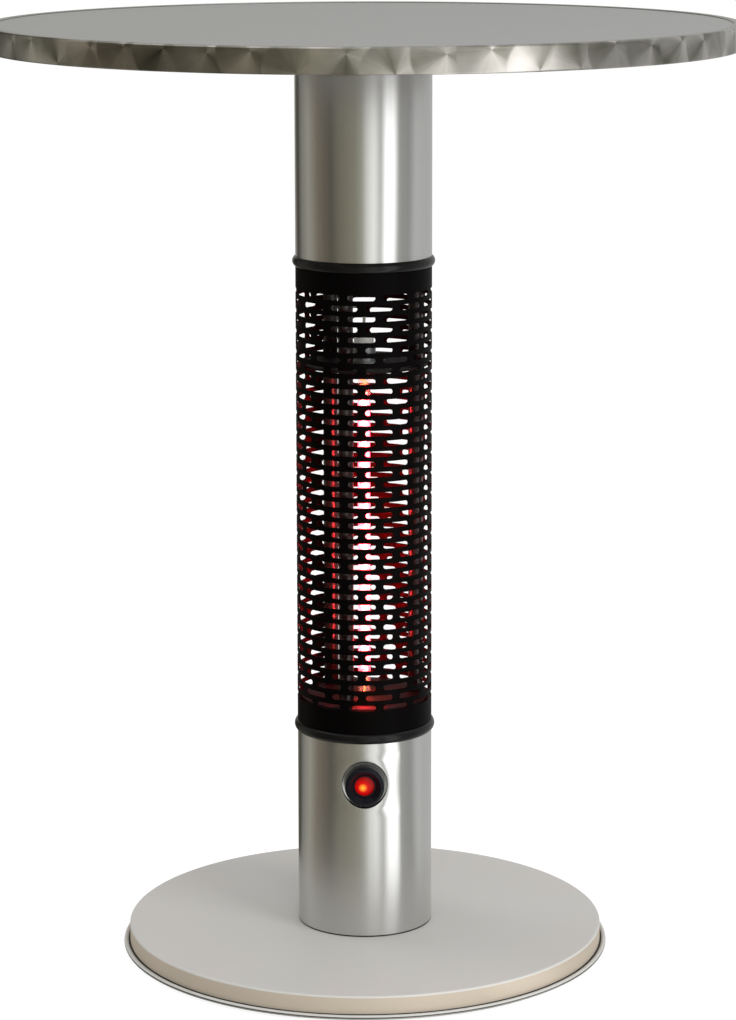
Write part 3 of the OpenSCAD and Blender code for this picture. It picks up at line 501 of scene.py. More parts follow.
@dataclass(frozen=True)
class EngineTurned(Look):
    """Stainless band turned in overlapping round spots, each with painted fans of reflected light about its
    middle.
    """

    radius: float = 300.0
    middle: float = 756.0
    spot: float = 34.8
    first_turn: float = 11.3
    reach: float = 0.80
    reach_soft: float = 0.07
    stray_x: float = 0.12
    stray_y: float = 0.14
    high_spot: float = 0.43
    high_share: float = 0.8
    lip_edge: float = 298.3
    lip_soft: float = 0.6
    lip_tone: float = 0.40
    # Shares of the painted fans and rays of reflected light in each spot.
    fan_share: float = 0.42
    narrow_share: float = 0.14
    ray_share: float = 0.24
    least: float = 0.08
    spot_share: float = 0.8
    cloud_share: float = 0.62
    cloud_sink: float = 0.36
    cloud: float = 0.9
    # The band's colours run from dark to pale through the painted reflection in its spots.
    dark: Colour = (0.12, 0.118, 0.090)
    pale: Colour = (0.86, 0.825, 0.785)
    rough: float = 0.30
    rough_drop: float = 0.10
    depth: float = 0.03

    def lay(self, graph: Surface) -> None:
        """Lays each spot's painted reflection over the one before it, and leaves the lips plain.

        Args:
            graph: The new material's graph.
        """
        along = (graph.turn() - math.radians(self.first_turn)) * (self.radius / self.spot)
        across = (graph.height() - self.middle) / self.spot
        newest = (along + self.reach).math("FLOOR")
        under, _ = self.painted_spot_reflection(graph, along, across, newest - 1.0)
        over, near = self.painted_spot_reflection(graph, along, across, newest)
        tone = under + (over - under) * near.before(self.reach, self.reach_soft)
        cloud = graph.noise(graph.vector(along * self.cloud, across * self.cloud), scale=1.0, detail=2.0)
        tone = (tone * self.spot_share + cloud * self.cloud_share - self.cloud_sink).clamped()
        tone = tone + (self.lip_tone - tone) * graph.away().before(self.lip_edge, self.lip_soft)
        graph.shade(Base_Color=graph.blend(tone, self.dark, self.pale), Metallic=1.0,
                    Roughness=self.rough - tone * self.rough_drop)
        graph.bump(tone, self.depth, strength=0.4)

    def painted_spot_reflection(self, graph: Surface, along: Value, across: Value, index: Value) -> tuple[Value, Value]:
        """Gives the painted reflection that one spot has at a place, and the place's distance from the spot's
        middle.

        Args:
            graph: The material's graph.
            along: The place along the band, in spots.
            across: The height over the band's middle, in spots.
            index: The spot's number.

        Returns:
            The painted reflection's tone and the distance.
        """
        random = graph.add("ShaderNodeTexWhiteNoise", {"noise_dimensions": "1D"}, {"W": index}, "Value")
        red = graph.add("ShaderNodeSeparateColor", {}, {0: random.named("Color")})
        green, blue = red.named("Green"), red.named("Blue")
        right = along - index - (red - 0.5) * self.stray_x
        up = across - (green - 0.5) * self.stray_y + (blue > self.high_share) * self.high_spot
        near = (right * right + up * up) ** 0.5
        angle = up.math("ARCTAN2", right)
        fan = (angle * 2.0 + blue * 6.28).math("COSINE") * 0.5 + 0.5
        narrow = (angle * 3.0 + random * 20.0).math("COSINE") * 0.5 + 0.5
        rays = graph.noise(graph.vector(angle * 3.0, index * 7.3), scale=1.0, detail=1.0, rough=0.4)
        return fan * self.fan_share + narrow * self.narrow_share + rays * self.ray_share + self.least, near


@dataclass(frozen=True)
class Quartz(Look):
    """Clear quartz with the pink glow of the lamp in its wall."""

    low: float = 227.0
    high: float = 459.0
    soft: float = 6.0
    unlit: Colour = (0.02, 0.006, 0.002)
    pink: Colour = (1.0, 0.014, 0.052)
    clear: float = 0.12
    haze: float = 0.06
    veil: float = 0.42
    strength: float = 4.0

    def lay(self, graph: Surface) -> None:
        """Lays the glow and its veil over the lit length, and a slight haze all over.

        Args:
            graph: The new material's graph.
        """
        lit = graph.height().within(self.low, self.high, self.soft)
        haze = graph.noise(graph.place(), scale=0.2) * self.haze
        graph.shade(Base_Color=(0.9, 0.88, 0.86), Roughness=0.04, Alpha=haze + self.clear + lit * self.veil,
                    Emission_Color=graph.blend(lit, self.unlit, self.pink), Emission_Strength=self.strength)


@dataclass(frozen=True)
class Glow(Look):
    """Glowing coiled wire, dull orange at its cool ends and white-hot between them."""

    low: float = 226.0
    high: float = 462.0
    soft: float = 8.0
    uneven: float = 0.2
    dull: Colour = (0.0048, 0.0013, 0.0002)
    hot: Colour = (1.0, 0.030, 0.034)
    strength: float = 500.0

    def lay(self, graph: Surface) -> None:
        """Lays the heat, which is a little uneven along the wire.

        Args:
            graph: The new material's graph.
        """
        uneven = graph.noise(graph.place(), scale=0.5) * self.uneven - self.uneven / 2
        heat = (graph.height().within(self.low, self.high, self.soft) + uneven).clamped()
        graph.shade(Base_Color=(0.3, 0.12, 0.06), Roughness=0.6,
                    Emission_Color=graph.blend(heat, self.dull, self.hot), Emission_Strength=self.strength)


@dataclass(frozen=True)
class LitLens(Look):
    """Red lens, lit from behind, with a bright yellow spot near its middle."""

    spot_x: float = -1.4
    spot_z: float = 147.5
    inner: float = 3.8
    outer: float = 8.5
    fall: float = 1.2
    rim: Colour = (0.13, 0.0, 0.0)
    red: Colour = (1.1, 0.0, 0.0)
    yellow: Colour = (1.2, 0.62, 0.05)

    def lay(self, graph: Surface) -> None:
        """Lays the red glow, and the yellow spot over it.

        Args:
            graph: The new material's graph.
        """
        x, _, z = graph.split()
        right, up = x - self.spot_x, z - self.spot_z
        away = (right * right + up * up) ** 0.5
        colour = graph.blend(away.before(self.outer, self.outer) ** self.fall, self.rim, self.red)
        colour = graph.blend(away.before(self.inner, self.inner) ** self.fall, colour, self.yellow)
        graph.shade(Base_Color=(0.10, 0.002, 0.002), Roughness=0.30, Specular_IOR_Level=0.15,
                    Emission_Color=colour, Emission_Strength=1.0)


@dataclass(frozen=True)
class Board(Look):
    """Fibreboard with fine chips and a sealed, slightly glossy face."""

    dark: Colour = (0.20, 0.195, 0.185)
    pale: Colour = (0.36, 0.35, 0.33)

    def lay(self, graph: Surface) -> None:
        """Lays chips of many tones, and fibres along X.

        Args:
            graph: The new material's graph.
        """
        chips = graph.add("ShaderNodeTexVoronoi", {}, {"Vector": graph.place(), "Scale": 0.9}, "Color")
        chip = graph.add("ShaderNodeSeparateColor", {}, {0: chips})
        fibres = graph.noise(graph.place((0.4, 2.2, 2.2)), scale=1.0, detail=4.0)
        graph.shade(Base_Color=graph.blend(chip * 0.5 + fibres * 0.5, self.dark, self.pale),
                    Roughness=0.55 + fibres * 0.2)
        graph.bump(fibres, depth=0.03)


@dataclass(frozen=True)
class Braid(Look):
    """Woven glass sleeve."""

    threads: float = 6.0
    dark: Colour = (0.42, 0.38, 0.29)
    pale: Colour = (0.72, 0.69, 0.60)

    def lay(self, graph: Surface) -> None:
        """Lays two slanted sets of threads.

        Args:
            graph: The new material's graph.
        """
        x, _, z = graph.split(self.threads)
        weave = (x + z).math("SINE") * (x - z).math("SINE") * 0.5 + 0.5
        graph.shade(Base_Color=graph.blend(weave, self.dark, self.pale), Roughness=0.8)
        graph.bump(weave, depth=0.1)


# Painted shade and reflection on the base: tan on the cover's skirt, shade in the groove by the rim, a dark
# reflection band and a shaded lower side on the rolled rim.
BASE_PAINTED_SHADE = (
    PaintedShadeRing(5.5, 18.5, 193.0, 196.0, (0.50, 0.435, 0.35)),
    PaintedShadeRing(0.0, 5.6, 190.0, 196.7, (0.02, 0.02, 0.018)),
    PaintedShadeRing(3.3, 4.6, 197.0, 201.0, (0.07, 0.068, 0.06)),
    PaintedShadeRing(0.0, 3.3, 197.0, 201.0, (0.30, 0.29, 0.27)),
)

FINISHES: dict[Slot, Look] = {
    Slot.BOARD: Board(),
    Slot.TOP_SKIN: SheetSteel((0.40, 0.40, 0.39), rough=0.45, metal=0.45, streak=0.05),
    Slot.EDGE_BAND: EngineTurned(),
    Slot.TUBE: TubeSteel(),
    Slot.BASE: SheetSteel((0.60, 0.59, 0.565), rough=0.60, metal=0.25, streak=0.04, rings=BASE_PAINTED_SHADE),
    Slot.GLOSS_BLACK: Finish((0.004, 0.004, 0.004), rough=0.20, tone=0.1, grain=0.6, depth=0.004, shine=0.21),
    Slot.GUARD: Enamel(),
    # The posts' faint red tint is painted red light of the lamp.
    Slot.POST: Finish((0.012, 0.001, 0.0015), rough=0.30, tone=0.15, grain=1.0, depth=0.010, shine=0.80),
    Slot.HEAT_PLATE: Finish((0.008, 0.006, 0.006), tone=0.2, grain=0.5, depth=0.01, shine=0.12),
    Slot.ZINC: Finish((0.55, 0.56, 0.57), rough=0.38, metal=1.0, tone=0.1, grain=0.7, depth=0.008),
    Slot.QUARTZ: Quartz(),
    Slot.FILAMENT: Glow(),
    Slot.CERAMIC: Finish((0.78, 0.75, 0.69), tone=0.04, grain=1.0, depth=0.03),
    Slot.BRAID: Braid(),
    Slot.RUBBER: Finish((0.02, 0.02, 0.02), rough=0.75, tone=0.2, grain=1.4, depth=0.05),
    Slot.SWITCH: Finish((0.004, 0.005, 0.008), rough=0.30, tone=0.1, grain=1.2, depth=0.01, shine=0.16),
    Slot.LENS: LitLens(),
    Slot.BRASS: Finish((0.60, 0.42, 0.15), rough=0.35, metal=1.0, tone=0.1, grain=0.8, depth=0.01),
    Slot.BLOCK: Finish((0.74, 0.74, 0.68), rough=0.45, tone=0.04, grain=0.8),
    Slot.WIRE: Finish((0.10, 0.045, 0.03), tone=0.2, grain=0.8),
    Slot.CAST: Finish((0.02, 0.02, 0.021), rough=0.6, metal=0.2, tone=0.25, grain=0.8, depth=0.15),
}


class Wardrobe:
    """Makes each finish once and puts it on pieces."""

    def __init__(self) -> None:
        """Starts with no material made."""
        self.made: dict[Slot, bpy.types.Material] = {}

    def material(self, slot: Slot) -> bpy.types.Material:
        """Gives a slot's material, made on first use.

        Args:
            slot: The slot.

        Returns:
            The material.
        """
        if slot not in self.made:
            graph = Surface(slot.value)
            FINISHES[slot].lay(graph)
            self.made[slot] = graph.material
        return self.made[slot]

    def wear(self, piece: bpy.types.Object, slot: Slot) -> None:
        """Puts a slot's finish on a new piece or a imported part.

        Args:
            piece: The piece or part.
            slot: The slot.
        """
        if not piece.material_slots:
            piece.data.materials.append(self.material(slot))
        for place in piece.material_slots:
            place.material = self.material(slot)


WARDROBE = Wardrobe()


# Modelling by hand


def deselect() -> None:
    """Goes to object mode with nothing selected."""
    if bpy.context.object and bpy.context.object.mode != "OBJECT":
        bpy.ops.object.mode_set(mode="OBJECT")
    bpy.ops.object.select_all(action="DESELECT")


def only(piece: bpy.types.Object, mode: str = "OBJECT") -> None:
    """Makes one piece the selected and active one, in a mode.

    Args:
        piece: The piece.
        mode: OBJECT or EDIT.
    """
    deselect()
    piece.select_set(True)
    bpy.context.view_layer.objects.active = piece
    bpy.ops.object.mode_set(mode=mode)


def added(name: str, primitive: Callable[..., Any], **settings: Any) -> bpy.types.Object:
    """Adds a primitive at the origin.

    Args:
        name: The piece's name.
        primitive: The operator that adds it.
        settings: The operator's other settings.

    Returns:
        The piece.
    """
    deselect()
    primitive(location=(0, 0, 0), **settings)
    piece = bpy.context.object
    piece.name = piece.data.name = name
    return piece


def pick(piece: bpy.types.Object, test: Callable[[Vector], bool], kind: str = "VERT") -> None:
    """Selects what passes a test, in edit mode.

    Args:
        piece: The piece in edit mode.
        test: Gets a vertex's place, or a face's middle, in metres.
        kind: VERT or FACE.
    """
    bpy.ops.mesh.select_mode(type=kind)
    bpy.ops.mesh.select_all(action="DESELECT")
    mesh = bmesh.from_edit_mesh(piece.data)
    for part in mesh.verts if kind == "VERT" else mesh.faces:
        part.select = test(part.co if kind == "VERT" else part.calc_center_median())
    mesh.select_flush_mode()
    bmesh.update_edit_mesh(piece.data)


def extrude_edges(rise: float = 0.0) -> None:
    """Extrudes the selected edges by a rise in metres, or on the spot."""
    bpy.ops.mesh.extrude_edges_move(TRANSFORM_OT_translate={"value": (0, 0, rise)})


def merge(gap: float = MERGE) -> None:
    """Selects the whole piece in edit mode and merges what lies within a gap in metres."""
    bpy.ops.mesh.select_all(action="SELECT")
    bpy.ops.mesh.remove_doubles(threshold=gap)


def fill_ends() -> None:
    """Closes every open edge loop of the piece in edit mode."""
    bpy.ops.mesh.select_mode(type="EDGE")
    bpy.ops.mesh.select_all(action="DESELECT")
    bpy.ops.mesh.select_non_manifold(extend=False, use_wire=False, use_multi_face=False,
                                     use_non_contiguous=False, use_verts=False)
    bpy.ops.mesh.fill(use_beauty=False)


def close_up() -> None:
    """Merges doubles and turns all faces outwards, and goes back to object mode."""
    bpy.ops.mesh.select_mode(type="VERT")
    merge()
    bpy.ops.mesh.normals_make_consistent(inside=False)
    bpy.ops.object.mode_set(mode="OBJECT")


def modify(piece: bpy.types.Object, kind: str, **settings: Any) -> None:
    """Adds a modifier and applies it.

    Args:
        piece: The piece.
        kind: The modifier's type.
        settings: Its settings.
    """
    only(piece)
    modifier = piece.modifiers.new(kind.lower(), kind)
    for key, setting in settings.items():
        setattr(modifier, key, setting)
    bpy.ops.object.modifier_apply(modifier=modifier.name)


def bevelled(piece: bpy.types.Object, width: float, segments: int = 2, angle: float = 35.0) -> None:
    """Rounds every edge sharper than an angle."""
    modify(piece, "BEVEL", width=width * MM, segments=segments, limit_method="ANGLE",
           angle_limit=math.radians(angle), use_clamp_overlap=True)


def walled(piece: bpy.types.Object, wall: float) -> None:
    """Gives an outer face its wall, towards the inside."""
    modify(piece, "SOLIDIFY", thickness=wall * MM, offset=-1.0, use_even_offset=True)


def moved(piece: bpy.types.Object, place: Matrix) -> None:
    """Moves a piece and applies the move to its mesh.

    Args:
        piece: The piece.
        place: Where it goes.
    """
    only(piece)
    piece.matrix_world = place
    bpy.ops.object.transform_apply(location=True, rotation=True, scale=True)


def copied(piece: bpy.types.Object, name: str, place: Matrix) -> bpy.types.Object:
    """Copies a piece with its own mesh to a place.

    Args:
        piece: The piece, at the origin.
        name: The copy's name.
        place: Where it goes.

    Returns:
        The copy.
    """
    twin = piece.copy()
    twin.data = piece.data.copy()
    twin.name = twin.data.name = name
    bpy.context.scene.collection.objects.link(twin)
    moved(twin, place)
    return twin


def joined(name: str, pieces: Sequence[bpy.types.Object]) -> bpy.types.Object:
    """Joins pieces to one.

    Args:
        name: The name of the whole.
        pieces: The pieces.

    Returns:
        The whole.
    """
    deselect()
    for piece in pieces:
        piece.select_set(True)
    bpy.context.view_layer.objects.active = pieces[0]
    if len(pieces) > 1:
        bpy.ops.object.join()
    pieces[0].name = pieces[0].data.name = name
    return pieces[0]


def raised(height: float) -> Matrix:
    """Gives a place on the column's axis."""
    return Matrix.Translation((0, 0, height * MM))


def turned(angle: float, axis: str = "Z") -> Matrix:
    """Gives a turn round an axis."""
    return Matrix.Rotation(math.radians(angle), 4, axis)


def turned_to(turn: float, radius: float, height: float = 0.0) -> Matrix:
    """Gives a place beside the column's axis, upright, at a turn from the front towards the right."""
    return turned(turn) @ Matrix.Translation((0, -radius * MM, height * MM))


def ring_of(name: str, master: bpy.types.Object, turns: Sequence[float], circle: float) -> bpy.types.Object:
    """Copies a master to some turns on a circle, joins the copies and removes the master.

    Args:
        name: The name of the whole.
        master: The master, on the column's axis.
        turns: The turns from the front towards the right.
        circle: The circle's radius.

    Returns:
        The whole.
    """
    parts = [copied(master, f"{name}_{i}", turned_to(turn, circle)) for i, turn in enumerate(turns)]
    bpy.data.objects.remove(master)
    return joined(name, parts)


def arc(middle: Point, radius: float, start: float, end: float, steps: int) -> list[Point]:
    """Gives points on an arc, with angles from the outward direction.

    Args:
        middle: The arc's centre, as radius and height.
        radius: The arc's radius.
        start: The first angle.
        end: The last angle.
        steps: The number of steps.

    Returns:
        The points.
    """
    angles = [math.radians(start + (end - start) * i / steps) for i in range(steps + 1)]
    return [(middle[0] + radius * math.cos(a), middle[1] + radius * math.sin(a)) for a in angles]


def single_vertex(name: str, place: Point) -> bpy.types.Object:
    """Adds a mesh of one vertex and stays in edit mode.

    Args:
        name: The piece's name.
        place: The vertex's radius and height.

    Returns:
        The piece.
    """
    piece = added(name, bpy.ops.mesh.primitive_plane_add, size=MM)
    only(piece, "EDIT")
    bpy.ops.mesh.select_mode(type="VERT")
    bpy.ops.mesh.select_all(action="SELECT")
    bpy.ops.mesh.merge(type="CENTER")
    bpy.ops.transform.translate(value=(place[0] * MM, 0, place[1] * MM))
    return piece


def spun(name: str, outline: Sequence[Point], steps: int = 128, sweep: float = 360.0,
         closed: bool = True) -> bpy.types.Object:
    """Draws an outline and spins it round the axis.

    Args:
        name: The piece's name.
        outline: Points as radius and height.
        steps: The steps of the spin.
        sweep: The spin's angle, whose ends are closed when it isn't a full turn.
        closed: Whether the outline returns to its first point.

    Returns:
        The piece.
    """
    piece = single_vertex(name, outline[0])
    here = outline[0]
    for there in [*outline[1:], *([outline[0]] if closed else [])]:
        step = ((there[0] - here[0]) * MM, 0, (there[1] - here[1]) * MM)
        bpy.ops.mesh.extrude_region_move(TRANSFORM_OT_translate={"value": step})
        here = there
    merge()
    bpy.ops.mesh.select_all(action="SELECT")
    bpy.ops.mesh.spin(steps=steps, angle=math.radians(sweep), center=(0, 0, 0), axis=(0, 0, 1))
    if sweep < 360:
        fill_ends()
    close_up()
    return piece


def sleeve(name: str, inner: float, outer: float, span: Point, steps: int) -> bpy.types.Object:
    """Makes a plain tube on the axis.

    Args:
        name: The piece's name.
        inner: Its inner radius.
        outer: Its outer radius.
        span: Its lower and upper height.
        steps: The steps of the spin.

    Returns:
        The piece.
    """
    low, high = span
    return spun(name, [(inner, low), (outer, low), (outer, high), (inner, high)], steps)


def wound(name: str, radius: float, wire: float, span: Point, turns: int) -> bpy.types.Object:
    """Winds a round wire on the Z axis as a screw of its section.

    Args:
        name: The coil's name.
        radius: The radius of the wire's path.
        wire: The wire's diameter.
        span: The heights of the wire's two ends.
        turns: How often it goes round.

    Returns:
        The closed coil.
    """
    sides, steps = 8, 20
    coil = added(name, bpy.ops.mesh.primitive_circle_add, vertices=sides, radius=wire / 2 * MM,
                 fill_type="NOTHING")
    only(coil, "EDIT")
    bpy.ops.mesh.select_all(action="SELECT")
    bpy.ops.transform.rotate(value=QUARTER, orient_axis="X", center_override=(0, 0, 0))
    bpy.ops.transform.translate(value=(radius * MM, 0, span[0] * MM))
    modify(coil, "SCREW", angle=math.tau, screw_offset=(span[1] - span[0]) / turns * MM,
           iterations=turns, steps=steps, render_steps=steps, use_merge_vertices=False)
    only(coil, "EDIT")
    fill_ends()
    close_up()
    return coil


def finish(piece: bpy.types.Object, slot: Slot, *nodes: str, body: Body = Body.TABLE,
           angle: float = 32.0) -> None:
    """Shades, dresses and mounts a finished piece.

    Args:
        piece: The piece.
        slot: Its finish.
        nodes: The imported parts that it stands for.
        body: The body that it rides on.
        angle: The angle from which an edge stays sharp.
    """
    only(piece)
    bpy.ops.object.shade_smooth_by_angle(angle=math.radians(angle))
    WARDROBE.wear(piece, slot)
    deselect()
    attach(piece, body.value)
    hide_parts(*nodes)
    faces = len(piece.data.polygons)
    LOG.info("%s: %d faces, %s, stands for %s", piece.name, faces, slot.value, ", ".join(nodes))


# Sub-assemblies


@dataclass
class TableTop:
    """Flat top: a sheet skin under the lips of a folded edge band."""

    height: float = 760.0
    radius: float = 300.0
    edge: float = 20.0
    sheet: float = 0.8
    lip: float = 8.0
    corner: float = 2.0
    play: float = 0.1
    chamfer: float = 0.2
    seam_turn: float = 39.5
    seam_gap: float = 0.3
    skin_steps: int = 180
    band_steps: int = 300
    bend_steps: int = 6

    def build(self) -> None:
        """Makes the skin and the band."""
        self.skin()
        self.band()

    def skin(self) -> None:
        """Makes the flat sheet that the band's upper lip holds down."""
        c = self.chamfer
        high = self.height - self.sheet
        low = high - self.sheet
        edge = self.radius - self.corner - self.play
        outline = [(0, low), (edge - c, low), (edge, low + c), (edge, high - c), (edge - c, high), (0, high)]
        finish(spun("top_sheet", outline, self.skin_steps, closed=False), Slot.TOP_SKIN, "top_skin")

    def band(self) -> None:
        """Makes the band with both lips, its hemmed edges and its seam."""
        high, low, steps = self.height, self.height - self.edge, self.bend_steps
        outer, inner = self.corner, self.corner - self.sheet
        bend, fold = self.radius - outer, self.sheet / 2
        hem = self.radius - self.lip + fold
        outline = [
            *arc((hem, high - fold), fold, 270, 90, steps),
            *arc((bend, high - outer), outer, 90, 0, steps),
            *arc((bend, low + outer), outer, 0, -90, steps),
            *arc((hem, low + fold), fold, 270, 90, steps),
            *arc((bend, low + outer), inner, -90, 0, steps),
            *arc((bend, high - outer), inner, 0, 90, steps),
        ]
        gap = math.degrees(self.seam_gap / self.radius)
        band = spun("edge_sheet_band", outline, self.band_steps, 360.0 - gap)
        moved(band, turned(self.seam_turn - 90.0 + gap / 2))
        finish(band, Slot.EDGE_BAND, "edge_band", angle=50.0)


@dataclass
class Column:
    """Upper brushed tube, and the black bead rings where the guard meets both tubes."""

    radius: float = 55.0
    wall: float = 1.2
    upper_low: float = 573.8
    upper_high: float = 736.8
    ring_height: float = 8.2
    ring_bulge: float = 2.5
    ring_inner: float = 51.4
    ring_step: float = 0.4
    bead_share: float = 0.93
    guard_inner: float = 54.0
    play: float = 0.1
    spigot: float = 6.0
    lower_ring: float = 182.6
    steps: int = 144

    def build(self) -> None:
        """Makes the upper tube and both rings."""
        self.tube()
        self.rings()

    def tube(self) -> None:
        """Makes the plain upper tube."""
        tube = sleeve("upper_column_tube", self.radius - self.wall, self.radius,
                      (self.upper_low, self.upper_high), self.steps)
        bevelled(tube, width=0.25)
        finish(tube, Slot.TUBE, "upper_tube")

    def rings(self) -> None:
        """Makes one bead ring and its mirrored copy."""
        h, edge = self.ring_height, self.radius - self.ring_step
        bead = (h * h / 4 + self.ring_bulge ** 2) / (2 * self.ring_bulge)
        half = math.degrees(math.asin(h / 2 / bead)) * self.bead_share
        middle = (self.radius + self.ring_bulge - bead, h / 2)
        spigot = self.guard_inner - self.play
        outline = [(self.ring_inner, 0), (edge, 0), *arc(middle, bead, -half, half, 12), (edge, h),
                   (spigot, h), (spigot, h + self.spigot), (self.ring_inner, h + self.spigot)]
        ring = spun("lower_bead_ring", outline, self.steps)
        bevelled(ring, width=0.2, angle=50.0)
        twin = copied(ring, "upper_bead_ring", raised(self.upper_low) @ Matrix.Diagonal((1, 1, -1, 1)))
        only(twin, "EDIT")
        close_up()
        moved(ring, raised(self.lower_ring))
        finish(ring, Slot.GLOSS_BLACK, "lower_trim_ring", angle=40.0)
        finish(twin, Slot.GLOSS_BLACK, "upper_trim_ring", angle=40.0)


@dataclass
class LowerTube:
    """Brushed tube under the guard, with a flat seat pressed in at the front for the push button."""

    radius: float = 55.0
    wall: float = 1.2
    low: float = 20.0
    high: float = 182.6
    seat_height: float = 148.5
    seat: float = 51.24
    seat_radius: float = 18.4
    slope: float = 3.0
    bore: float = 11.1
    flat_ring: float = 14.5
    bend_ring: float = 22.4
    outer_ring: float = 23.6
    border: float = 25.0
    window: float = 28.0
    window_turn: float = 30.0
    slack: float = 0.1
    side_steps: int = 18
    halvings: int = 40

    def build(self) -> None:
        """Makes the tube's outer face with a window, fills that with the pressed seat and adds the wall."""
        steps = round(180 / self.window_turn * self.side_steps)
        low, high = self.seat_height - self.window, self.seat_height + self.window
        rows = [low + (high - low) * i / self.side_steps for i in range(self.side_steps + 1)]
        tube = spun("lower_column_tube", [(self.radius, z) for z in (self.low, *rows, self.high)], steps,
                    closed=False)
        only(tube, "EDIT")
        pick(tube, self.in_window, "FACE")
        bpy.ops.mesh.delete(type="FACE")
        tube = joined("lower_column_tube", [tube, self.pressing()])
        only(tube, "EDIT")
        pick(tube, self.on_border)
        bpy.ops.mesh.select_mode(type="EDGE")
        bpy.ops.mesh.bridge_edge_loops()
        close_up()
        bevelled(tube, width=0.7, segments=3, angle=16.0)
        walled(tube, self.wall)
        finish(tube, Slot.TUBE, "lower_tube", angle=34.0)

    def in_window(self, place: Vector) -> bool:
        """Tells whether a place on the tube is inside the window."""
        turn = abs(math.degrees(math.atan2(place.x, -place.y)))
        return turn < self.window_turn and abs(place.z / MM - self.seat_height) < self.window

    def on_border(self, place: Vector) -> bool:
        """Tells whether a vertex is on the window's border or on the pressing's outer ring.

        Args:
            place: The vertex's place in metres.

        Returns:
            Whether it is.
        """
        turn = abs(math.degrees(math.atan2(place.x, -place.y)))
        rise = abs(place.z / MM - self.seat_height)
        side = abs(turn - self.window_turn) < self.slack and rise < self.window + self.slack
        end = abs(rise - self.window) < self.slack and turn < self.window_turn + self.slack
        return side or end or abs(math.hypot(place.x / MM, rise) - self.border) < self.slack

    def pressing(self) -> bpy.types.Object:
        """Makes the flat seat, its sloping side and the cylinder round it as rings round the button.

        Returns:
            The pressing.
        """
        piece = added("seat_pressing", bpy.ops.mesh.primitive_circle_add, vertices=4 * self.side_steps,
                      radius=self.bore * MM, fill_type="NOTHING", rotation=(QUARTER, 0, 0))
        bpy.ops.object.transform_apply(location=True, rotation=True, scale=True)
        only(piece, "EDIT")
        bpy.ops.mesh.select_all(action="SELECT")
        here = self.bore
        for ring in (self.flat_ring, self.seat_radius, self.outer_ring, self.border):
            extrude_edges()
            bpy.ops.transform.resize(value=(ring / here, 1, ring / here), center_override=(0, 0, 0))
            here = ring
            if ring == self.seat_radius:
                extrude_edges()
                self.place_ring(piece, self.slope_end)
                extrude_edges()
                self.place_ring(piece, lambda aim: self.bend_ring)
                here = self.bend_ring
        bpy.ops.object.mode_set(mode="OBJECT")
        for vertex in piece.data.vertices:
            x, z = vertex.co.x / MM, vertex.co.z / MM
            depth = self.seat + self.slope * max(0.0, math.hypot(x, z) - self.seat_radius)
            vertex.co.y = -min(math.sqrt(self.radius ** 2 - x * x), depth) * MM
        moved(piece, raised(self.seat_height))
        return piece

    def place_ring(self, piece: bpy.types.Object, radius: Callable[[Vector], float]) -> None:
        """Puts the newest ring at a distance from the button's axis.

        Args:
            piece: The pressing in edit mode, with its newest ring selected.
            radius: Gets a vertex's direction from the axis and gives its distance.
        """
        mesh = bmesh.from_edit_mesh(piece.data)
        for vertex in (v for v in mesh.verts if v.select):
            aim = Vector((vertex.co.x, 0, vertex.co.z)).normalized()
            away = radius(aim)
            vertex.co.x, vertex.co.z = aim.x * away * MM, aim.z * away * MM
        bmesh.update_edit_mesh(piece.data)

    def slope_end(self, aim: Vector) -> float:
        """Finds by halving where the seat's side meets the cylinder.

        Args:
            aim: The direction from the button's axis.

        Returns:
            The distance from the axis.
        """
        near, far = self.seat_radius, self.border
        for _ in range(self.halvings):
            middle = (near + far) / 2
            surface = math.sqrt(self.radius ** 2 - (aim.x * middle) ** 2)
            rise = self.slope * (middle - self.seat_radius)
            near, far = (middle, far) if self.seat + rise < surface else (near, middle)
        return near


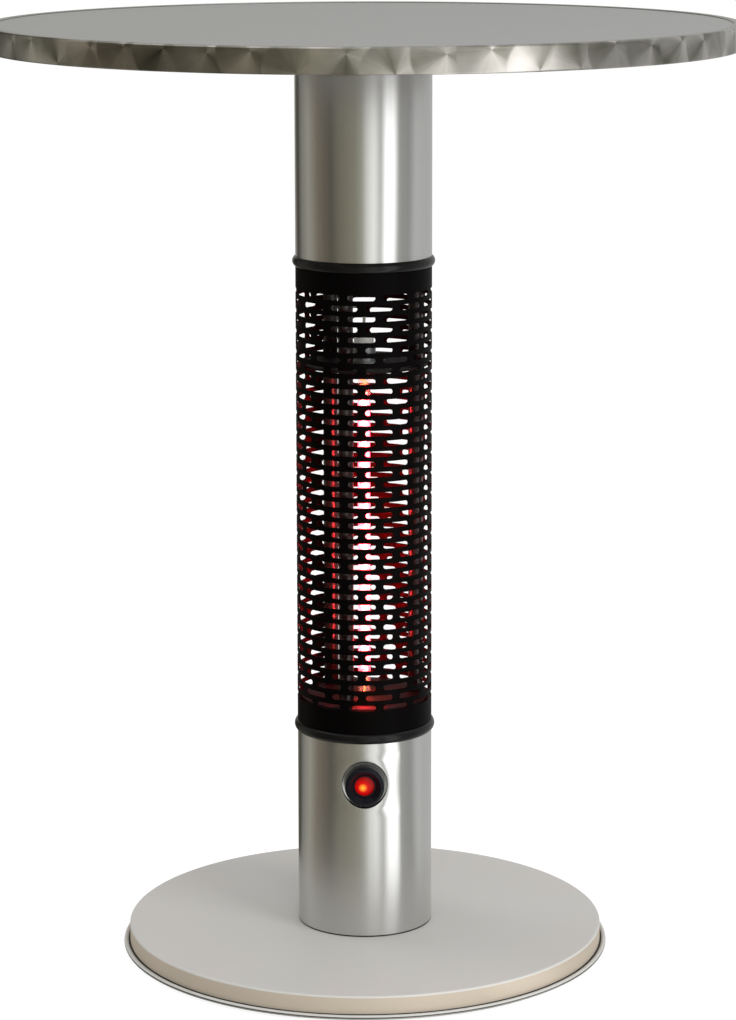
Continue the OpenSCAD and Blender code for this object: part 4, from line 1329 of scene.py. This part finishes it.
@dataclass
class Guard:
    """Sheet tube with staggered rows of round-ended slots."""

    radius: float = 55.0
    wall: float = 1.0
    low: float = 190.8
    high: float = 565.6
    slots: int = 12
    slot_length: float = 22.5
    slot_height: float = 4.4
    row_pitch: float = 8.34
    first_row: float = 21.7
    rows: int = 41
    turn: float = -2.0
    end_steps: int = 3
    side_cuts: int = 5
    slack: float = 0.02
    row_slack: float = 0.05
    row_merge: float = 0.03

    def build(self) -> None:
        """Makes one slot's cell, rows of it, and the plain bands above and below."""
        guard = self.cell()
        step = 360.0 / self.slots
        modify(guard, "SIMPLE_DEFORM", deform_method="BEND", deform_axis="Z", angle=math.radians(step))
        self.centre_cell(guard)
        only(guard, "EDIT")
        bpy.ops.mesh.select_all(action="SELECT")
        bpy.ops.mesh.spin(steps=self.slots - 1, dupli=True, angle=math.radians(360.0 - step),
                          center=(0, 0, 0), axis=(0, 0, 1))
        bpy.ops.mesh.select_all(action="SELECT")
        bpy.ops.mesh.duplicate_move(TRANSFORM_OT_translate={"value": (0, 0, self.row_pitch * MM)})
        bpy.ops.transform.rotate(value=math.radians(step / 2), orient_axis="Z", center_override=(0, 0, 0))
        modify(guard, "ARRAY", count=(self.rows + 1) // 2, use_relative_offset=False, use_constant_offset=True,
               constant_offset_displace=(0, 0, 2 * self.row_pitch * MM))
        moved(guard, raised(self.low + self.first_row) @ turned(self.turn))
        self.trim(guard)
        walled(guard, self.wall)
        bevelled(guard, width=0.22, segments=1, angle=50.0)
        finish(guard, Slot.GUARD, "guard", angle=35.0)

    def cell(self) -> bpy.types.Object:
        """Makes a flat cell with one slot in it, standing in the XZ plane.

        Returns:
            The cell.
        """
        half = (self.slot_length - self.slot_height) / 2 * MM
        cell = added("slotted_guard", bpy.ops.mesh.primitive_plane_add, size=MM)
        only(cell, "EDIT")
        bpy.ops.mesh.select_all(action="SELECT")
        bpy.ops.transform.resize(value=(self.slot_length, self.slot_height, 1))
        bpy.ops.mesh.bevel(offset=self.slot_height / 2 * MM, segments=self.end_steps, affect="VERTICES")
        merge(self.slack * MM)
        bpy.ops.mesh.select_all(action="SELECT")
        bpy.ops.mesh.delete(type="ONLY_FACE")
        pick(cell, lambda v: abs(v.x) < half + self.slack * MM)
        bpy.ops.mesh.subdivide(number_cuts=self.side_cuts)
        bpy.ops.mesh.select_mode(type="EDGE")
        bpy.ops.mesh.select_all(action="SELECT")
        extrude_edges()
        self.spread(cell, half)
        bpy.ops.object.mode_set(mode="OBJECT")
        moved(cell, turned(90, "X"))
        return cell

    def spread(self, cell: bpy.types.Object, half: float) -> None:
        """Spreads the outer of the cell's two loops, which is selected, to the cell's border.

        Args:
            cell: The cell in edit mode.
            half: Half the slot's straight run in metres.
        """
        border = math.pi * self.radius / self.slots * MM
        bpy.ops.transform.resize(value=(1, self.row_pitch / self.slot_height, 1), center_override=(0, 0, 0))
        mesh = bmesh.from_edit_mesh(cell.data)
        loop = {v.index: v.co.x for v in mesh.verts if v.select}
        reach = half + self.slack * MM
        bpy.ops.mesh.select_mode(type="VERT")
        for side in (0, 1, -1):
            chosen = {index for index, x in loop.items() if (x > reach) - (x < -reach) == side}
            bpy.ops.mesh.select_all(action="DESELECT")
            mesh = bmesh.from_edit_mesh(cell.data)
            for v in mesh.verts:
                v.select = v.index in chosen
            bmesh.update_edit_mesh(cell.data)
            stretch = 0 if side else border / half
            bpy.ops.transform.resize(value=(stretch, 1, 1), center_override=(side * border, 0, 0))

    def centre_cell(self, cell: bpy.types.Object) -> None:
        """Moves the bent cell so that the column's axis is the middle of its bend, with the slot at the front.

        Args:
            cell: The bent cell.
        """
        vertices = cell.data.vertices
        middle = min(vertices, key=lambda v: abs(v.co.x)).co.y
        edge = max(vertices, key=lambda v: abs(v.co.x)).co.y
        if edge < middle:
            moved(cell, turned(180))
            middle = -middle
        moved(cell, Matrix.Translation((0, -self.radius * MM - middle, 0)))

    def trim(self, guard: bpy.types.Object) -> None:
        """Takes off the one row too many and draws the plain bands from the end rows.

        Args:
            guard: The rows of slots.
        """
        only(guard, "EDIT")
        merge(self.row_merge * MM)
        first = (self.low + self.first_row - self.row_pitch / 2) * MM
        last = first + self.rows * self.row_pitch * MM
        pick(guard, lambda c: c.z > last, "FACE")
        bpy.ops.mesh.delete(type="FACE")
        for end, target in ((first, self.low * MM), (last, self.high * MM)):
            pick(guard, lambda v, end=end: abs(v.z - end) < self.row_slack * MM)
            bpy.ops.mesh.select_mode(type="EDGE")
            extrude_edges(target - end)
        close_up()


@dataclass
class Posts:
    """Spacer sleeves of the three tie rods, which carry the lamp plates inside the guard."""

    circle: float = 42.6
    outer: float = 6.0
    bore: float = 3.3
    turns: tuple[float, float, float] = (-20.0, 100.0, 220.0)
    names: tuple[str, str, str] = ("front_post", "right_post", "rear_post")
    lower: Point = (182.6, 209.0)
    middle: Point = (211.0, 485.5)
    upper: Point = (487.5, 573.8)

    def build(self) -> None:
        """Makes the long sleeves one by one and the short ones in two sets."""
        for name, turn in zip(self.names, self.turns):
            post = ring_of(f"{name}_sleeve", self.master(self.middle), [turn], self.circle)
            finish(post, Slot.POST, name)
        for name, span in (("lower_spacers", self.lower), ("upper_spacers", self.upper)):
            finish(ring_of(f"{name}_sleeves", self.master(span), self.turns, self.circle), Slot.POST, name)

    def master(self, span: Point) -> bpy.types.Object:
        """Makes one sleeve on the axis.

        Args:
            span: Its lower and upper height.

        Returns:
            The sleeve.
        """
        piece = sleeve("master_sleeve", self.bore, self.outer, span, steps=32)
        bevelled(piece, width=0.5)
        return piece


@dataclass
class Lamp:
    """Quartz tube with its glowing coil."""

    outer: float = 5.0
    wall: float = 1.1
    low: float = 199.0
    high: float = 497.5
    coil_radius: float = 1.9
    wire: float = 1.5
    coil_low: float = 218.0
    coil_high: float = 478.5
    turns: int = 60

    def build(self) -> None:
        """Makes the tube and the filament."""
        tube = sleeve("quartz_lamp_tube", self.outer - self.wall, self.outer, (self.low, self.high), steps=40)
        bevelled(tube, width=0.3)
        finish(tube, Slot.QUARTZ, "quartz_tube")
        self.filament()

    def filament(self) -> None:
        """Makes the coil with a straight lead-in and a cross bar at each end."""
        parts = [wound("filament_coil", self.coil_radius, self.wire, (self.coil_low, self.coil_high), self.turns)]
        for start, end, join in ((self.low, self.coil_low, self.coil_low),
                                 (self.coil_high, self.high, self.coil_high)):
            parts.append(self.rod("lead_in", start, end))
            bar = self.rod("cross_bar", 0, self.coil_radius)
            moved(bar, raised(join) @ turned(90, "Y"))
            parts.append(bar)
        finish(joined("lamp_filament", parts), Slot.FILAMENT, "filament", angle=60.0)

    def rod(self, name: str, low: float, high: float) -> bpy.types.Object:
        """Makes a straight piece of the wire on the axis between two heights."""
        wire = self.wire / 2
        return spun(name, [(0, low), (wire, low), (wire, high), (0, high)], steps=8, closed=False)


@dataclass
class PushButton:
    """Panel push button with a raised bezel, a dished face and a lit lens."""

    height: float = 148.5
    seat: float = 51.24
    gasket: float = 1.0
    bezel: float = 16.0
    proud: float = 12.0
    bore: float = 9.6
    barrel: float = 11.0
    barrel_length: float = 19.0
    corner: float = 3.0
    dish: float = 4.0
    dish_rim: float = 3.0
    edge: float = 0.6
    chamfer: float = 0.3
    mouth_rise: float = 0.15
    mouth_drop: float = 0.2
    button: float = 9.5
    front: float = 7.5
    cap_length: float = 8.5
    stem: float = 3.0
    stem_length: float = 21.5
    lens: float = 8.0
    lens_play: float = 0.05
    lens_chamfer: float = 0.35
    lens_depth: float = 3.0
    dome: float = 1.0
    spring_radius: float = 5.0
    spring_wire: float = 0.8
    spring_turns: int = 4
    travel: float = 2.5

    def build(self) -> None:
        """Makes the bezel, the button, the lens and the spring."""
        aim = turned_to(0.0, self.seat, self.height) @ turned(90, "X")
        self.surround(aim)
        self.cap(aim)
        self.glass(aim)
        self.spring(aim)

    def surround(self, aim: Matrix) -> None:
        """Makes the bezel with its barrel and dished face.

        Args:
            aim: The seat's place, whose Z points out of the column.
        """
        r, c, p, e = self.bezel, self.corner, self.proud, self.edge
        rim = r - self.dish_rim + e
        face = p - self.dish
        outline = [
            (self.bore, -self.barrel_length), (self.barrel, -self.barrel_length), (self.barrel, self.gasket),
            (r, self.gasket), *arc((r - c, p - c), c, 0, 90, 8), *arc((rim, p - e), e, 90, 150, 3),
            (self.bore + self.chamfer, face + self.mouth_rise), (self.bore, face - self.mouth_drop)]
        bezel = spun("button_bezel", outline, steps=96)
        moved(bezel, aim)
        finish(bezel, Slot.SWITCH, "switch_bezel", angle=40.0)

    def cap(self, aim: Matrix) -> None:
        """Makes the sliding cap with its stem and the ring round the lens.

        Args:
            aim: The seat's place, whose Z points out of the column.
        """
        f, b, c, e = self.front, self.button, self.chamfer, self.edge
        end, shoulder, well = f - self.stem_length, f - self.cap_length, f - self.lens_depth
        seat = self.lens + self.lens_play
        outline = [(0, end), (self.stem - c, end), (self.stem, end + c), (self.stem, shoulder), (b - c, shoulder),
                   (b, shoulder + c), *arc((b - e, f - e), e, 0, 90, 4), (seat + self.lens_chamfer, f),
                   (seat, f - self.lens_chamfer), (seat, well), (0, well)]
        cap = spun("button_body", outline, steps=64, closed=False)
        moved(cap, aim)
        finish(cap, Slot.SWITCH, "button_cap", body=Body.BUTTON, angle=40.0)

    def glass(self, aim: Matrix) -> None:
        """Makes the domed lens, whose crown is part of a ball twice as wide as the lens.

        Args:
            aim: The seat's place, whose Z points out of the column.
        """
        r, low, high = self.lens, self.front - self.lens_depth, self.front + self.dome
        ball = 2 * r
        edge = math.degrees(math.asin(r / ball))
        outline = [(0, low), (r, low), *arc((0, high - ball), ball, 90.0 - edge, 90.0, 8)]
        lens = spun("lit_lens", outline, steps=64, closed=False)
        moved(lens, aim)
        finish(lens, Slot.LENS, "button_lens", body=Body.BUTTON, angle=40.0)

    def spring(self, aim: Matrix) -> None:
        """Winds the return spring where the imported spring stands.

        Args:
            aim: The seat's place, whose Z points out of the column.
        """
        near, far = (corner[1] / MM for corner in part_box("switch_spring"))
        wire = self.spring_wire
        span = (wire / 2 - self.seat - far, -wire / 2 - self.seat - near)
        coil = wound("return_spring", self.spring_radius, wire, span, self.spring_turns)
        moved(coil, aim)
        finish(coil, Slot.ZINC, "switch_spring", angle=60.0)
        self.height * MM
        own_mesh(coil)


@dataclass
class Base:
    """Round foot: a pressed cover in a pan with a rolled rim, on rubber feet."""

    cover_radius: float = 195.0
    high: float = 20.0
    sheet: float = 1.0
    corner: float = 1.4
    pan_low: float = 4.0
    pan_sheet: float = 1.2
    rim: float = 1.8
    rim_circle: float = 198.2
    rim_height: float = 3.9
    foot: float = 16.0
    foot_circle: float = 165.0
    feet: int = 6
    bolts: int = 4
    bolt_circle: float = 37.8
    bolt_turn: float = 45.0
    pocket: float = 10.0
    round_steps: int = 240

    def build(self) -> None:
        """Makes the cover, the pan and the feet."""
        self.cover()
        self.pan()
        self.pads()

    def cover(self) -> None:
        """Makes the disc with its rounded corner and short skirt."""
        low = self.pan_low + self.pan_sheet
        r, c, s = self.cover_radius, self.corner, self.sheet
        middle = (r - c, self.high - c)
        outline = [(0, self.high - s), *arc(middle, c - s, 90, 0, 6), (r - s, low), (r, low),
                   *arc(middle, c, 0, 90, 8), (0, self.high)]
        cover = spun("base_cover_disc", outline, self.round_steps, closed=False)
        finish(cover, Slot.BASE, "base_cover", angle=40.0)

    def pan(self) -> None:
        """Makes the pan with its rolled rim and the pockets for the column's bolts."""
        high = self.pan_low + self.pan_sheet
        lower = math.degrees(math.asin((self.pan_low - self.rim_height) / self.rim))
        upper = math.degrees(math.asin((high - self.rim_height) / self.rim))
        roll = arc((self.rim_circle, self.rim_height), self.rim, 180.0 - lower, 540.0 - upper, 28)
        pan = spun("base_pan_with_rim", [(0, self.pan_low), *roll, (0, high)], self.round_steps, closed=False)
        for i in range(self.bolts):
            hole = added("bolt_pocket", bpy.ops.mesh.primitive_cylinder_add, vertices=32,
                         radius=self.pocket * MM, depth=4 * high * MM)
            moved(hole, turned_to(self.bolt_turn + i * 360 / self.bolts, self.bolt_circle))
            modify(pan, "BOOLEAN", operation="DIFFERENCE", object=hole, solver="EXACT")
            bpy.data.objects.remove(hole)
        finish(pan, Slot.BASE, "base_pan", angle=40.0)

    def pads(self) -> None:
        """Makes one ribbed foot with its screw's recess, and its copies."""
        r, h = self.foot, self.pan_low
        outline = [(4.2, 0.4), (4.6, 0), (r - 1.0, 0), (r - 0.2, 0.5), (r - 0.2, 1.2), (r - 0.7, 1.5), (r, 1.9),
                   (r, h), (2.3, h), (2.3, 2.4), (4.2, 2.4)]
        turns = [i * 360 / self.feet for i in range(self.feet)]
        pads = ring_of("rubber_foot_pads", spun("master_foot", outline, steps=40), turns, self.foot_circle)
        finish(pads, Slot.RUBBER, "rubber_feet")


# Studio


ROOM: dict[str, tuple[float, Colour]] = {
    "back_middle": (-180.0, (0.30, 0.30, 0.29)),
    "back_cloth_left": (-163.0, (0.28, 0.28, 0.26)),
    "back_flag_edge": (-154.0, (0.09, 0.08, 0.065)),
    "back_flag": (-142.0, (0.04, 0.037, 0.03)),
    "left_cloth_back": (-128.0, (0.17, 0.17, 0.15)),
    "left_cloth": (-106.0, (0.28, 0.27, 0.23)),
    "left_cloth_front": (-84.0, (0.15, 0.13, 0.10)),
    "front_flag": (-56.0, (0.08, 0.075, 0.06)),
    "front_flag_edge": (-44.0, (0.14, 0.13, 0.10)),
    "front_cloth": (-14.0, (0.21, 0.20, 0.155)),
    "camera_opening": (-3.0, (0.28, 0.28, 0.24)),
    "pale_screen_left": (8.0, (0.66, 0.66, 0.63)),
    "pale_screen": (18.0, (0.85, 0.85, 0.83)),
    "gap": (30.0, (0.35, 0.35, 0.34)),
    "strip_light_left": (38.0, (1.3, 1.3, 1.3)),
    "strip_light_right": (52.0, (1.3, 1.3, 1.3)),
    "right_cloth_front": (61.0, (0.30, 0.30, 0.29)),
    "right_cloth": (82.0, (0.25, 0.25, 0.245)),
    "right_screen": (97.0, (0.42, 0.42, 0.415)),
    "back_middle_again": (180.0, (0.31, 0.31, 0.305)),
}


@dataclass
class Studio:
    """Camera, floor, soft lights, and the round wall that the metal mirrors.

    Its sizes are in metres, but for the camera's lens and sensor. The pitch and the roll are in radians.
    """

    focal: float = 118.175
    sensor: float = 36.0
    distance: float = 2.66955
    height: float = 0.91872
    pitch: float = 0.18165
    roll: float = 0.002
    centre_x: float = 364.0
    centre_y: float = 432.98
    floor_radius: float = 14.0
    floor_paint: Colour = (0.90, 0.90, 0.90)
    floor_white: float = 0.75
    floor_glow: float = 1.17
    wall_radius: float = 4.5
    wall_height: float = 5.0
    room_level: float = 1.6
    fill_level: float = 0.6
    key_watts: float = 60.0
    fill_watts: float = 35.0
    aim_height: float = 0.5
    round_sides: int = 96

    def build(self) -> None:
        """Sets up the whole studio."""
        self.camera()
        self.floor()
        self.room_wall()
        self.world()
        self.softbox("key_box", 47.0, 3.0, 1.5, (1.4, 1.8), self.key_watts)
        self.softbox("left_box", 240.0, 3.0, 1.6, (2.0, 2.0), self.fill_watts)
        self.softbox("front_box", 5.0, 3.4, 1.9, (1.6, 1.2), self.fill_watts)
        bpy.context.scene.view_settings.view_transform = "Standard"

    def hang(self, name: str, data: bpy.types.ID, place: Matrix) -> bpy.types.Object:
        """Puts a camera or a light into the scene at a place.

        Args:
            name: Its name.
            data: The camera's or light's data.
            place: Its place and turn.

        Returns:
            Its object.
        """
        thing = bpy.data.objects.new(name, data)
        bpy.context.scene.collection.objects.link(thing)
        thing.matrix_world = place
        return thing

    def camera(self) -> None:
        """Places the photograph's camera."""
        data = bpy.data.cameras.new("photo_camera")
        data.lens = self.focal
        data.sensor_width = self.sensor
        data.shift_x = (PHOTO_WIDTH / 2 - self.centre_x) / PHOTO_HEIGHT
        data.shift_y = (self.centre_y - PHOTO_HEIGHT / 2) / PHOTO_HEIGHT
        data.clip_start, data.clip_end = 0.1, 60.0
        bpy.context.scene.camera = self.hang("photo_camera", data, (
            Matrix.Translation((0, -self.distance, self.height))
            @ Matrix.Rotation(QUARTER - self.pitch, 4, "X") @ Matrix.Rotation(-self.roll, 4, "Z")))

    def floor(self) -> None:
        """Lays a wide pale floor, which keeps a soft shadow and mirrors in the metal as the room does."""
        floor = added("studio_floor", bpy.ops.mesh.primitive_circle_add, vertices=self.round_sides,
                      radius=self.floor_radius, fill_type="NGON")
        graph = Surface("studio_floor")
        graph.shade(Base_Color=self.floor_paint, Roughness=0.9, Specular_IOR_Level=0.0)
        rays = graph.add("ShaderNodeLightPath", output="Is Camera Ray")
        white = graph.add("ShaderNodeEmission", {}, {"Color": WHITE, "Strength": self.floor_glow})
        paint = Value(graph, graph.principled.outputs[0])
        plain = graph.mix_shaders(rays * self.floor_white, paint, white)
        graph.end(graph.mix_shaders(rays.named("Is Glossy Ray"), plain, self.room_light(graph)))
        floor.data.materials.append(graph.material)

    def room_light(self, graph: Surface) -> Value:
        """Adds the room's glow, whose tone changes with the turn round the table.

        Args:
            graph: The graph that gets it.

        Returns:
            The emission shader's output.
        """
        stops = [((degrees + 180.0) / 360.0, tone) for degrees, tone in ROOM.values()]
        tone = graph.add("ShaderNodeValToRGB", {"stops": stops}, {0: graph.turn() / math.tau + 0.5})
        return graph.add("ShaderNodeEmission", {}, {"Color": tone, "Strength": self.room_level})

    def room_wall(self) -> None:
        """Stands a round wall about the table that only mirrors in its surfaces."""
        wall = added("studio_wall", bpy.ops.mesh.primitive_cylinder_add, vertices=self.round_sides,
                     radius=self.wall_radius, depth=self.wall_height, end_fill_type="NOTHING")
        moved(wall, Matrix.Translation((0, 0, self.wall_height / 2)))
        graph = Surface("studio_wall")
        graph.end(self.room_light(graph))
        wall.data.materials.append(graph.material)
        wall.visible_camera = wall.visible_diffuse = wall.visible_shadow = False
        wall.visible_transmission = False

    def world(self) -> None:
        """Gives soft light from all round, and white where the camera, metal or glass looks past everything."""
        world = bpy.data.worlds.new("studio_world")
        world.use_nodes = True
        bpy.context.scene.world = world
        graph = Graph(world.node_tree)
        soft = graph.tree.nodes["Background"]
        graph.feed(soft.inputs["Color"], WHITE)
        graph.feed(soft.inputs["Strength"], self.fill_level)
        white = graph.add("ShaderNodeBackground", {}, {"Color": WHITE, "Strength": 1.0})
        seen = rays = graph.add("ShaderNodeLightPath", output="Is Camera Ray")
        for kind in ("Is Glossy Ray", "Is Transmission Ray"):
            seen = seen.math("MAXIMUM", rays.named(kind))
        mixed = graph.mix_shaders(seen, Value(graph, soft.outputs[0]), white)
        graph.feed(graph.tree.nodes["World Output"].inputs[0], mixed)

    def softbox(self, name: str, turn: float, away: float, height: float, size: Point, watts: float) -> None:
        """Hangs one soft box that faces the column, and that the room's wall stands for in reflections.

        Args:
            name: Its name.
            turn: Its turn from the front towards the right.
            away: Its distance from the column's axis.
            height: The height of its middle.
            size: Its width and height.
            watts: Its power.
        """
        data = bpy.data.lights.new(name, "AREA")
        data.shape = "RECTANGLE"
        data.size, data.size_y = size
        data.energy = watts
        tilt = math.atan2(height - self.aim_height, away)
        box = self.hang(name, data, turned(turn) @ Matrix.Translation((0, -away, height))
                        @ Matrix.Rotation(QUARTER - tilt, 4, "X"))
        box.visible_camera = box.visible_glossy = False


def dress_packed_parts() -> None:
    """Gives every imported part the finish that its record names."""
    rows = frame["record"]["subparts"]
    for row in rows:
        WARDROBE.wear(frame["nodes"][row["node"]], Slot(row["material_slot"]))
    LOG.info("dressed %d packed parts", len(rows))


def main() -> None:
    """Builds the sub-assemblies in order."""
    logging.basicConfig(level=logging.INFO, format="%(message)s")
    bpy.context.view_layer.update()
    Studio().build()
    dress_packed_parts()
    for assembly in (TableTop(), Column(), LowerTube(), Guard(), Posts(), Lamp(), PushButton(), Base()):
        assembly.build()


if __name__ == "__main__":
    main()
